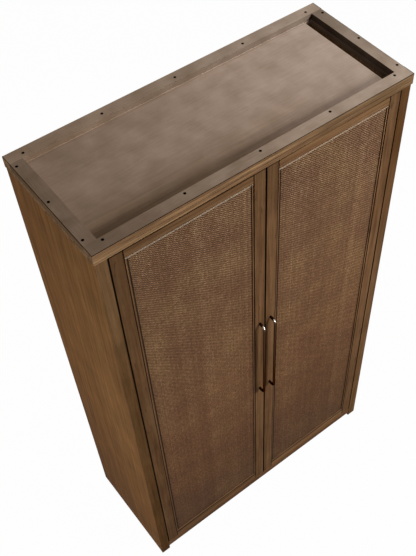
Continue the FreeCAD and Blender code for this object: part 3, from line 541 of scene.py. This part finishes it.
def sheen_tone(tree, place, sheen, fine):
    """The painted sheen's tone: clouds and fine grain pick it from three hex colours; fine scales the place of the
    grain.
    """
    mottle = add(tree, "ShaderNodeTexNoise", {"Vector": place, **pattern(MOTTLE)}).outputs["Fac"]
    lay = add(tree, "ShaderNodeMapping", {"Vector": place, "Scale": fine}).outputs[0]
    grain = add(tree, "ShaderNodeTexNoise", {"Vector": lay, **pattern(FINE_GRAIN)}).outputs["Fac"]
    mixed = add(tree, "ShaderNodeMix", {0: GRAIN_SHARE, 2: mottle, 3: grain}, {"data_type": "FLOAT"}).outputs[0]
    tone = add(tree, "ShaderNodeValToRGB", {"Fac": mixed}, stops=tone_stops(sheen, SHEEN_SPREAD)).outputs[0]
    x = add(tree, "ShaderNodeSeparateXYZ", {0: place}).outputs["X"]
    return tinted(tree, tone, x, WARM_RUN, SHEEN_WARMTH)


print("clouds in the wax:", round(MOTTLE[0] / MM), "mm wide")

# %% [markdown]
# Behind the front rail the sheen gives way to painted shade, and a pale line runs at the foot of the back rail. Along
# the outer arris the colour is dark, a millimetre or two wide. The walls of the recess get a share of the painted sheen
# as well; the outer faces, the back and the underside don't. Screw holes get near black painted shade. The effect reads
# the face's own direction and its place on the cabinet.

# %% Painted sheen on the top
TOP_LOW, TOP_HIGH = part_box("top_front_rail")
RECESS_FRONT = TOP_HIGH[1]
RECESS_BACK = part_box("top_back_rail")[0][1]
TOP_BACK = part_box("top_back_rail")[1][1]
RECESS_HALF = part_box("top_right_rail")[0][0]
RAIL_SHADE_DEPTH = (RECESS_FRONT, RECESS_FRONT + 150.0 * MM, 1.0, 0.0)
RAIL_SHADE_RUN = (-0.1, 0.42)
RAIL_SHADE_END = 0.05
RAIL_SHADE_DIM = 0.55
PALE_LINE = (RECESS_BACK - 3.2 * MM, RECESS_BACK - 1.6 * MM)
SHEEN_RUN = (-0.42, 0.12)
SHEEN_DEPTH = (-0.14, 0.14)
DARK_ARRIS = (-2.1 * MM, -1.26 * MM, 1.0, 0.08)
UP_FACING = (0.4, 0.65)
DOWN_FACING = -0.5
WALL_INSET = 5.0 * MM
HOLE_INSET = 2.0 * MM
HOLE_SHADE = 0.04
BOARD_RUN = (0.02, 0.2)
END_INSET = 0.2 * MM


def sheened(sheen, fine, ends, board=(1.0, 1.0), ends_dim=1.0, rail_shade=0.0, line=1.0, depth=(1.0, 1.0), walls=0.72):
    """An effect: up-facing faces and the recess walls take the tones of a painted sheen; all else keeps its stain.

    The sheen changes from left to right between two ends and from front to back by depth, gives way to painted shade
    behind the front rail, has a pale line at the back rail and a share of its tone on walls; screw hole walls get
    painted shade. The board under it fades from left to right, and its end grain is dimmer.
    """
    def over(tree, place, colour):
        x, y, _ = add(tree, "ShaderNodeSeparateXYZ", {0: place}).outputs
        facing = add(tree, "ShaderNodeTexCoord", {}).outputs["Normal"]
        rise = add(tree, "ShaderNodeSeparateXYZ", {0: facing}).outputs["Z"]
        up = add(tree, "ShaderNodeMapRange", {"Value": rise, **limits(UP_FACING)}).outputs[0]
        wide = add(tree, "ShaderNodeMath", {0: x}, {"operation": "ABSOLUTE"}).outputs[0]
        wide = add(tree, "ShaderNodeMath", {0: wide, 1: TOP_HIGH[0]}, {"operation": "SUBTRACT"}).outputs[0]
        near = add(tree, "ShaderNodeMath", {0: TOP_LOW[1], 1: y}, {"operation": "SUBTRACT"}).outputs[0]
        rim = add(tree, "ShaderNodeMath", {0: wide, 1: near}, {"operation": "MAXIMUM"}).outputs[0]

        # Painted shade behind the front rail: less sheen there, and the colour dimmed.
        slot_light_and_rail_shade = add(tree, "ShaderNodeMapRange", {"Value": y, **limits(RAIL_SHADE_DEPTH)},
                   {"interpolation_type": "SMOOTHSTEP"}).outputs[0]
        less = add(tree, "ShaderNodeMapRange", {"Value": x, **limits((*RAIL_SHADE_RUN, rail_shade, RAIL_SHADE_END * rail_shade))}).outputs[0]
        slot_light_and_rail_shade = add(tree, "ShaderNodeMath", {0: slot_light_and_rail_shade, 1: less}, {"operation": "MULTIPLY"}).outputs[0]
        # Painted sheen: a grey tone on faces that look up, growing towards the right.
        tone = sheen_tone(tree, place, sheen, fine)
        stain_patches_and_sheen = add(tree, "ShaderNodeMix", {0: slot_light_and_rail_shade, 6: tone, 7: colour}, {"data_type": "RGBA"}).outputs[2]
        for value, run in (
            (slot_light_and_rail_shade, (0.0, 1.0, 1.0, RAIL_SHADE_DIM)), (y, (*PALE_LINE, 1.0, line)), (x, (*SHEEN_RUN, *ends)),
            (y, (*SHEEN_DEPTH, *depth)), (rim, DARK_ARRIS), (up, (0.0, 1.0, walls, 1.0)),
        ):
            kept = add(tree, "ShaderNodeMapRange", {"Value": value, **limits(run)}).outputs[0]
            stain_patches_and_sheen = add(tree, "ShaderNodeVectorMath", {0: stain_patches_and_sheen, "Scale": kept}, {"operation": "SCALE"}).outputs[0]

        # Painted shade: the walls of the screw holes in the rails go near black.
        rear = add(tree, "ShaderNodeMath", {0: y, 1: TOP_BACK}, {"operation": "SUBTRACT"}).outputs[0]
        rear = add(tree, "ShaderNodeMath", {0: rim, 1: rear}, {"operation": "MAXIMUM"}).outputs[0]
        wall = add(tree, "ShaderNodeMath", {0: rear, 1: -WALL_INSET}, {"operation": "LESS_THAN"}).outputs[0]
        sheer = add(tree, "ShaderNodeMath", {0: rise, 1: DOWN_FACING}, {"operation": "GREATER_THAN"}).outputs[0]
        wall = add(tree, "ShaderNodeMath", {0: wall, 1: sheer}, {"operation": "MULTIPLY"}).outputs[0]
        past = beyond(tree, y, (RECESS_FRONT, RECESS_BACK))
        aside = add(tree, "ShaderNodeMath", {0: wide, 1: TOP_HIGH[0] - RECESS_HALF}, {"operation": "ADD"}).outputs[0]
        past = add(tree, "ShaderNodeMath", {0: past, 1: aside}, {"operation": "MAXIMUM"}).outputs[0]
        hole = add(tree, "ShaderNodeMath", {0: past, 1: HOLE_INSET}, {"operation": "GREATER_THAN"}).outputs[0]
        steep = add(tree, "ShaderNodeMapRange", {"Value": up, 3: 1.0, 4: 0.0}).outputs[0]
        for mask in (wall, steep):
            hole = add(tree, "ShaderNodeMath", {0: hole, 1: mask}, {"operation": "MULTIPLY"}).outputs[0]
        stain_patches_and_sheen = dimmed(tree, stain_patches_and_sheen, hole, HOLE_SHADE)

        fade = add(tree, "ShaderNodeMapRange", {"Value": x, **limits((*BOARD_RUN, *board))}).outputs[0]
        colour = add(tree, "ShaderNodeVectorMath", {0: colour, "Scale": fade}, {"operation": "SCALE"}).outputs[0]
        end = add(tree, "ShaderNodeMath", {0: wide, 1: -END_INSET}, {"operation": "GREATER_THAN"}).outputs[0]
        colour = dimmed(tree, colour, end, ends_dim)
        sheen_faces = add(tree, "ShaderNodeMath", {0: up, 1: wall}, {"operation": "MAXIMUM"}).outputs[0]
        return add(tree, "ShaderNodeMix", {0: sheen_faces, 6: colour, 7: stain_patches_and_sheen}, {"data_type": "RGBA"}).outputs[2]
    return over


print("the washed recess runs from y", round(RECESS_FRONT, 3), "to", round(RECESS_BACK, 3), "m")

# %% [markdown]
# The top board and the four rails of the gallery differ a little in their painted sheen. The front strip fades to
# the right, and the end grain of the side rails is darker.

# %% Finishes of the top
STRIP_STAIN = ("#523a26", "#785b40", "#997b58")
END_STAIN = ("#4c3926", "#59432b", "#654e34")
RAIL_SHEEN = ("#766351", "#8c7968", "#a18e7d")
FIELD_SHEEN = ("#82705e", "#958171", "#a49181")
ALONG_X = (0.04, 1.0, 1.0)
ALONG_Y = (1.0, 0.04, 1.0)
STRIP_FADE = (1.15, 0.68)
STRIP_END = 0.6
oak_field = stained_oak("stained_oak_field", "x", STRIP_STAIN, sheened(
    FIELD_SHEEN, ALONG_X, ends=(0.92, 1.05), board=STRIP_FADE, ends_dim=STRIP_END, rail_shade=0.6, line=1.8, walls=1.0
), spread=0.15)
oak_front_rail = stained_oak("stained_oak_front_rail", "x", STRIP_STAIN, sheened(
    RAIL_SHEEN, ALONG_X, ends=(0.74, 1.03), board=STRIP_FADE, ends_dim=STRIP_END
), spread=0.15, flecks=0.7)
oak_back_rail = stained_oak("stained_oak_back_rail", "x", STRIP_STAIN,
                            sheened(RAIL_SHEEN, ALONG_X, ends=(1.12, 0.99), walls=0.8))
oak_left_rail = stained_oak("stained_oak_left_rail", "y", END_STAIN, sheened(RAIL_SHEEN, ALONG_Y, ends=(0.78, 0.78)))
oak_right_rail = stained_oak("stained_oak_right_rail", "y", END_STAIN,
                             sheened(RAIL_SHEEN, ALONG_Y, ends=(0.7, 0.7), depth=(1.42, 0.86)))
print("gallery:", oak_front_rail.name, oak_back_rail.name, oak_left_rail.name, oak_right_rail.name)

# %% [markdown]
# ## The boards get their finish
# Each CAD node keeps its shape and takes the finish whose grain runs the way a joiner would lay the board: along
# stiles and sides, across rails and shelves, and front to back on the short gallery rails and stemware rails.

# %% Finish for every wooden node
def dress(names, material):
    """Gives nodes one material in place of the plain one from CAD."""
    for name in names:
        nodes[name].data.materials.clear()
        nodes[name].data.materials.append(material)


SIDES = ("left", "right")
dress([f"{side}_side_panel" for side in SIDES], oak_side)
dress(["base_board"], oak_base)
dress(["counter_shelf", "stemware_shelf", "bottle_shelf", "neck_cradle", "body_cradle",
       "door_stop_rail"], oak_across)
dress([f"stemware_rail_{number}" for number in range(1, 6)], oak_deep)
dress(["back_panel"] + [f"{side}_door_backing_panel" for side in SIDES], oak_veneer)
dress(["top_board"], oak_field)
dress(["top_front_rail"], oak_front_rail)
dress(["top_back_rail"], oak_back_rail)
dress(["top_left_rail"], oak_left_rail)
dress(["top_right_rail"], oak_right_rail)
for side in SIDES:
    dress([f"{side}_door_hinge_stile", f"{side}_door_meeting_stile"], oak_stile)
    dress([f"{side}_door_top_rail", f"{side}_door_bottom_rail"], oak_rail)
    dress([f"{side}_door_top_bead"], oak_top_bead)
    dress([f"{side}_door_bottom_bead"], oak_bottom_bead)
dress(["left_door_hinge_bead", "right_door_meeting_bead"], oak_left_bead)
dress(["left_door_meeting_bead", "right_door_hinge_bead"], oak_right_bead)
print("dressed", sum(node.active_material.name.startswith("stained_oak") for node in nodes.values()), "wooden nodes")

# %% [markdown]
# ## Metal and plastic
# The small parts are bought in: pulls of dark bronze with a painted highlight at the upper bend, screws in black oxide
# or zinc, brass pins and bushes, nylon catches and glides. All share one recipe, two close tones in fine specks and a
# matching roughness; only the numbers differ. Specks finer than a pixel would vanish, so they are a millimetre wide or
# more.

# %% Metal and plastic
SPECK_ENDS = (0.35, 0.65)
ROUGH_ENDS = (0.3, 0.7)
HIGHLIGHT_SIDE = (0.0, -0.62, 0.785)
HIGHLIGHT_ENDS = (0.9, 0.99)


def speckled(name, tones, width, metallic, roughness, gloss=0.5, rim="#ffffff", highlight_tone=""):
    """A hard finish: a noise of a given width picks between two hex tones and between two roughnesses.

    The rim is the hex tone of a metal seen at a slant, and the last a painted highlight's tone where it faces up and
    front.
    """
    material, tree = new_finish(name)
    place = add(tree, "ShaderNodeTexCoord", {}).outputs["Object"]
    specks = add(tree, "ShaderNodeTexNoise", {"Vector": place, **pattern((width, 3.0, 0.6))}).outputs["Fac"]
    stops = [(end, linear(tone)) for end, tone in zip(SPECK_ENDS, tones)]
    colour = add(tree, "ShaderNodeValToRGB", {"Fac": specks}, stops=stops).outputs[0]
    rough = add(tree, "ShaderNodeMapRange", {"Value": specks, **limits((*ROUGH_ENDS, *roughness))}).outputs[0]
    # A painted highlight, pale where the surface faces up and to the front.
    if highlight_tone:
        facing = add(tree, "ShaderNodeTexCoord", {}).outputs["Normal"]
        toward = add(tree, "ShaderNodeVectorMath", {0: facing, 1: HIGHLIGHT_SIDE},
                     {"operation": "DOT_PRODUCT"}).outputs["Value"]
        toward = add(tree, "ShaderNodeMapRange", {"Value": toward, **limits(HIGHLIGHT_ENDS)}).outputs[0]
        colour = add(tree, "ShaderNodeMix", {0: toward, 6: colour, 7: linear(highlight_tone)}, {"data_type": "RGBA"}).outputs[2]
    skin = add(tree, "ShaderNodeBsdfPrincipled", {
        "Base Color": colour, "Roughness": rough, "Metallic": metallic, "IOR": 1.5, "Specular IOR Level": gloss,
        "Specular Tint": linear(rim)
    })
    add(tree, "ShaderNodeOutputMaterial", {"Surface": skin.outputs[0]})
    return material


bronze = speckled("dark_bronze", ("#45342a", "#564338"), 3.0 * MM, metallic=1.0, roughness=(0.12, 0.2),
                  rim="#6a5648", highlight_tone="#d9d0c4")
black_oxide = speckled("black_oxide_steel", ("#020202", "#060606"), 1.0 * MM, metallic=0.0, roughness=(0.5, 0.7),
                       gloss=0.0)
zinc = speckled("zinc_plated_steel", ("#8f9094", "#a9aaad"), 1.0 * MM, metallic=1.0, roughness=(0.26, 0.42))
brass = speckled("turned_brass", ("#a07c40", "#b9965a"), 1.0 * MM, metallic=1.0, roughness=(0.24, 0.38))
nylon = speckled("black_nylon", ("#151413", "#242220"), 1.0 * MM, metallic=0.0, roughness=(0.45, 0.6))
dress(["top_frame_screws"], black_oxide)
dress(["shelf_pins"] + [f"{side}_door_bushes" for side in SIDES], brass)
dress([f"{side}_{end}_pivot" for side in SIDES for end in ("top", "bottom")], zinc)
dress([f"{side}_door_{piece}" for side in SIDES for piece in ("strike", "pull_screws")], zinc)
dress(["floor_glides"] + [f"{side}_catch" for side in SIDES], nylon)
dress([f"{side}_door_pull" for side in SIDES], bronze)
print("hard finishes:", bronze.name, black_oxide.name, zinc.name, brass.name, nylon.name)

# %% [markdown]
# ## New pieces from arrays
# Every new piece is a surface worked out with whole arrays: points first, then the corner numbers of its quads, and a
# flat cap where a tube ends. It rides on the body that carries it, so it swings with its door.

# %% Helpers for pieces
def new_piece(name, points, quads, material, body, caps=()):
    """A smooth mesh from (n, 3) points, (m, 4) corner numbers of quads and rings of corners that are capped flat."""
    corners = np.concatenate([quads.ravel(), *caps]).astype(np.int32)
    sizes = np.array([4] * len(quads) + [len(cap) for cap in caps])
    mesh = bpy.data.meshes.new(name)
    mesh.vertices.add(len(points))
    mesh.vertices.foreach_set("co", np.ascontiguousarray(points, np.float32).ravel())
    mesh.loops.add(len(corners))
    mesh.loops.foreach_set("vertex_index", corners)
    mesh.polygons.add(len(sizes))
    mesh.polygons.foreach_set("loop_start", (np.cumsum(sizes) - sizes).astype(np.int32))
    mesh.polygons.foreach_set("use_smooth", sizes == 4)
    mesh.update(calc_edges=True)
    mesh.materials.append(material)
    piece = bpy.data.objects.new(name, mesh)
    bpy.context.scene.collection.objects.link(piece)
    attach(piece, body)
    return piece


def grid_quads(rows, columns):
    """Corner numbers of the quads of a grid whose points are numbered row by row."""
    corner = np.arange((rows - 1) * columns).reshape(rows - 1, columns)[:, :-1]
    return np.stack([corner, corner + 1, corner + columns + 1, corner + columns], axis=-1).reshape(-1, 4)


def loop_quads(rows, columns):
    """Like grid_quads, for a tube: the last point of a row is joined to its first."""
    row, column = np.meshgrid(np.arange(rows - 1), np.arange(columns), indexing="ij")
    after = (column + 1) % columns
    corner = np.stack([row * columns + column, row * columns + after,
                       (row + 1) * columns + after, (row + 1) * columns + column], axis=-1)
    return corner.reshape(-1, 4)


print("quads of a 3 by 4 grid:", len(grid_quads(3, 4)), "and tube:", len(loop_quads(3, 4)))

# %% [markdown]
# ## Pulls
# Each pull is one bronze bar, bent twice and screwed on from behind. The bar is a circle swept along its centre line:
# straight out from the door, a quarter bend, straight up, a quarter bend and back. CAD keeps a coarse version of it,
# and its box gives the size, so the round bar stands exactly where the coarse one does.

# %% Round pulls
BEND_RADIUS = 14.0 * MM
BEND_STEPS = 14
BAR_SIDES = 28

for side in SIDES:
    node = f"{side}_door_pull"
    low, high = (np.array(corner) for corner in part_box(node))
    radius = (high[0] - low[0]) / 2
    out = low[1] + radius
    turn = np.linspace(0, math.pi / 2, BEND_STEPS)
    bend_y = out + BEND_RADIUS * (1 - np.sin(turn))
    bend_z = low[2] + radius + BEND_RADIUS * (1 - np.cos(turn))
    path_y = np.concatenate([[high[1]], bend_y, bend_y[::-1], [high[1]]])
    path_z = np.concatenate([[low[2] + radius], bend_z, low[2] + high[2] - bend_z[::-1], [high[2] - radius]])
    heading = np.concatenate([[0], turn, math.pi - turn[::-1], [math.pi]])
    angle = np.linspace(0, 2 * math.pi, BAR_SIDES, endpoint=False)
    rim_x = radius * np.cos(angle)[None, :]
    rim_n = radius * np.sin(angle)[None, :]
    points = np.stack(np.broadcast_arrays(
        (low[0] + high[0]) / 2 + rim_x,
        path_y[:, None] - rim_n * np.sin(heading)[:, None],
        path_z[:, None] - rim_n * np.cos(heading)[:, None],
    ), axis=-1).reshape(-1, 3)
    quads = loop_quads(len(path_y), BAR_SIDES)
    first = np.arange(BAR_SIDES)
    caps = (first[::-1], first + len(points) - BAR_SIDES)
    pull = new_piece(f"{side}_door_pull_bar", points, quads, bronze, f"{side}_door", caps)
    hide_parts(node)
    print(pull.name, len(quads) + len(caps), "faces")

# %% [markdown]
# ## Woven cane
# The door panels are stained cane, split into flat strands and woven over one, under one, about four millimetres
# from strand to strand both ways. A bump map of a weave goes flat when it is seen at a slant, as here, so the strands
# are real: every strand is a ribbon whose height follows a sine, up over one neighbour and down under the next, and
# upright and level strands swing in opposite phase. Each strand carries its own tone, as cane from many canes does.

# %% Strands as ribbons
STRAND_PITCH = (4.07 * MM, 3.99 * MM)
STRAND_COVER = 0.88
WAVE_HEIGHT = 0.55 * MM
OWN_TONE = 0.12
SHARED_TONE = 0.05
SHARING_STRANDS = 15


def ribbons(spans, pitches, phase):
    """Ribbons along the second axis: ribbon i is (-1) ** i * sin(pi * t) high at t crossings along it.

    Points are in an array of ribbon, step and edge: place across, place along and height; two steps make a crossing.
    """
    across, along = spans
    count = round((across[1] - across[0]) / pitches[0])
    crossings = round((along[1] - along[0]) / pitches[1])
    pitch = (across[1] - across[0]) / count
    ribbon = np.arange(count)[:, None, None]
    step = np.arange(2 * crossings + 1)[None, :, None] / 2
    edge = np.array([-0.5, 0.5])[None, None, :]
    grid = np.broadcast_arrays(
        across[0] + (ribbon + 0.5 + edge * STRAND_COVER) * pitch,
        along[0] + step / crossings * (along[1] - along[0]),
        phase * (-1.0) ** ribbon * np.sin(math.pi * step) + 0 * edge,
    )
    quads = (grid_quads(step.size, 2)[None] + ribbon * step.size * 2).reshape(-1, 4)
    return grid, quads


def strand_tones(count, random):
    """A tone from -1 to 1 for each strand: mostly its own, a little shared with its neighbours."""
    own = random.normal(0, 1, count)
    wider = random.normal(0, 1, count + SHARING_STRANDS - 1)
    shared = np.convolve(wider, np.hanning(SHARING_STRANDS), "valid")
    return np.clip(OWN_TONE * own + SHARED_TONE * shared / shared.std(), -1, 1)


print("ribbon quads of a crossing:", len(grid_quads(3, 2)))

# %% [markdown]
# The cane is nearly matt after staining. Its tone comes from an attribute of the mesh, so it follows every strand; fine
# specks stand for fibres, and broad patches, some towards ochre and some towards plum, come from how the stain was
# wiped on. Crests are painted lighter and dips darker, as painted light and shade. Upright strands are lighter than
# level ones, which is what makes the weave show from afar, and painted shade darkens the cane towards the foot of the
# door. The outermost strands have lines of their own: at the left of a panel brown like the frame, then a near black
# painted shadow, and at its head a pale painted highlight, then painted shade.

# %% Stained cane
FIBRES = (5.0 * MM, 2.0, 0.6)
FIBRE_REACH = 0.55
WIPES = (110.0 * MM, 3.0, 0.5)
WIPE_REACH = 0.22
WIPE_TINTS = ((0.36, (1.0, 0.97, 1.03, 1)), (0.64, (1.0, 1.0, 0.95, 1)))
NOISE_ENDS = (0.3, 0.7)
CREST_LIGHT = (0.2, 1.0, -0.45, 0.45)
CANE_SHADE_HEIGHT = (0.1, 1.7)
CANE_SHADE_RUN = ((0.0, (0.68, 0.65, 0.65, 1)), (1.0, (0.87, 0.93, 1.03, 1)), (0.22, (0.78, 0.71, 0.67, 1)),
            (0.44, (0.93, 0.88, 0.86, 1)), (0.66, (0.94, 0.95, 0.965, 1)))
LEFT_LINES_AND_SHADOW = ((1.75 * MM, 1.75 * MM, 0.8, "#6b4d32"), (5.7 * MM, 2.2 * MM, 0.9, "#140c06"))
HEAD_HIGHLIGHT_AND_SHADE = ((-4.0 * MM, 2.2 * MM, 0.75, "#b9a995"), (-7.6 * MM, 1.4 * MM, 0.4, "#140c06"))
CANE_EDGES = (("X", BEAD_WIDTH - OPENING_X[1], LEFT_LINES_AND_SHADOW), ("X", BEAD_WIDTH + OPENING_X[0], LEFT_LINES_AND_SHADOW),
              ("Z", OPENING_Z[1] - BEAD_WIDTH, HEAD_HIGHLIGHT_AND_SHADE))


def stained_cane(name, stain):
    """Cane toned by strand, painted light on crests, specks, patches; tinted by patches, painted shade and edge lines.
    """
    material, tree = new_finish(name)
    place = add(tree, "ShaderNodeTexCoord", {}).outputs["Object"]
    spot = add(tree, "ShaderNodeSeparateXYZ", {0: place}).outputs
    picked = add(tree, "ShaderNodeAttribute", {}, {"attribute_name": "tone"}).outputs["Fac"]
    crest = add(tree, "ShaderNodeAttribute", {}, {"attribute_name": "crest"}).outputs["Fac"]
    stain_patches_and_sheen = add(tree, "ShaderNodeTexNoise", {"Vector": place, **pattern(WIPES)}).outputs["Fac"]
    fibres = add(tree, "ShaderNodeTexNoise", {"Vector": place, **pattern(FIBRES)}).outputs["Fac"]
    # Painted light on the crests and painted shade in the dips shift the tone, with patches and fibres.
    for value, run in ((crest, CREST_LIGHT), (stain_patches_and_sheen, (*NOISE_ENDS, -WIPE_REACH, WIPE_REACH)),
                       (fibres, (*NOISE_ENDS, -FIBRE_REACH, FIBRE_REACH))):
        shift = add(tree, "ShaderNodeMapRange", {"Value": value, **limits(run)}).outputs[0]
        picked = add(tree, "ShaderNodeMath", {0: picked, 1: shift}, {"operation": "ADD"}).outputs[0]
    picked = add(tree, "ShaderNodeMapRange", {"Value": picked, 1: -1.0, 2: 1.0}).outputs[0]
    colour = add(tree, "ShaderNodeValToRGB", {"Fac": picked}, stops=tone_stops(stain, 0.5)).outputs[0]
    tint = add(tree, "ShaderNodeValToRGB", {"Fac": stain_patches_and_sheen}, stops=WIPE_TINTS).outputs[0]
    colour = add(tree, "ShaderNodeVectorMath", {0: colour, 1: tint}, {"operation": "MULTIPLY"}).outputs[0]
    # Painted shade, darker towards the foot of the door.
    colour = tinted(tree, colour, spot["Z"], CANE_SHADE_HEIGHT, CANE_SHADE_RUN)
    # Lines on the outer strands: brown like the frame, then a painted shadow, at the left; a painted highlight, then
    # painted shade, at the head.
    for axis, edge, lines in CANE_EDGES:
        for middle, half, share, tone in lines:
            line = add(tree, "ShaderNodeMath", {0: spot[axis], 1: edge + middle, 2: half},
                       {"operation": "COMPARE"}).outputs[0]
            line = add(tree, "ShaderNodeMapRange", {"Value": line, 4: share}).outputs[0]
            colour = add(tree, "ShaderNodeMix", {0: line, 6: colour, 7: linear(tone)}, {"data_type": "RGBA"}).outputs[2]
    skin = add(tree, "ShaderNodeBsdfPrincipled", {
        "Base Color": colour, "Roughness": 0.6, "IOR": 1.5, "Specular IOR Level": 0.04
    })
    add(tree, "ShaderNodeOutputMaterial", {"Surface": skin.outputs[0]})
    return material


cane_upright = stained_cane("stained_cane_upright", ("#6a4930", "#8a6645", "#c09a73"))
cane_level = stained_cane("stained_cane_level", ("#46301f", "#5a3f2a", "#6f5038"))
print("cane finishes:", cane_upright.name, cane_level.name)

# %% [markdown]
# ## The woven panels
# A panel fills the sheet that CAD keeps in its place: the strands run from edge to edge of that sheet, and their
# crests stay just inside its front face, so the beads still hold it down.

# %% Weave both doors
random = np.random.default_rng(11)
for side in SIDES:
    body = f"{side}_door"
    low, high = (np.array(corner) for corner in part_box(f"{body}_cane_panel"))
    middle_y = (low[1] + high[1]) / 2
    x_span = (low[0], high[0])
    z_span = (low[2], high[2])
    for lie, spans, pitches, phase, finish in (
        ("upright", (x_span, z_span), STRAND_PITCH, 1.0, cane_upright),
        ("level", (z_span, x_span), STRAND_PITCH[::-1], -1.0, cane_level),
    ):
        (across, along, height), quads = ribbons(spans, pitches, phase)
        x, z = (across, along) if lie == "upright" else (along, across)
        points = np.stack([x, middle_y - WAVE_HEIGHT * height, z], axis=-1).reshape(-1, 3)
        facing = quads if lie == "upright" else quads[:, ::-1]
        strands = new_piece(f"{body}_cane_{lie}", points, facing, finish, body)
        tones = np.broadcast_to(strand_tones(len(across), random)[:, None, None], across.shape)
        for label, values in (("tone", tones), ("crest", height)):
            layer = strands.data.attributes.new(label, "FLOAT", "POINT")
            layer.data.foreach_set("value", np.ascontiguousarray(values, np.float32).ravel())
        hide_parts(f"{body}_cane_panel")
        print(strands.name, len(across), "strands,", 2 * len(quads), "triangles")
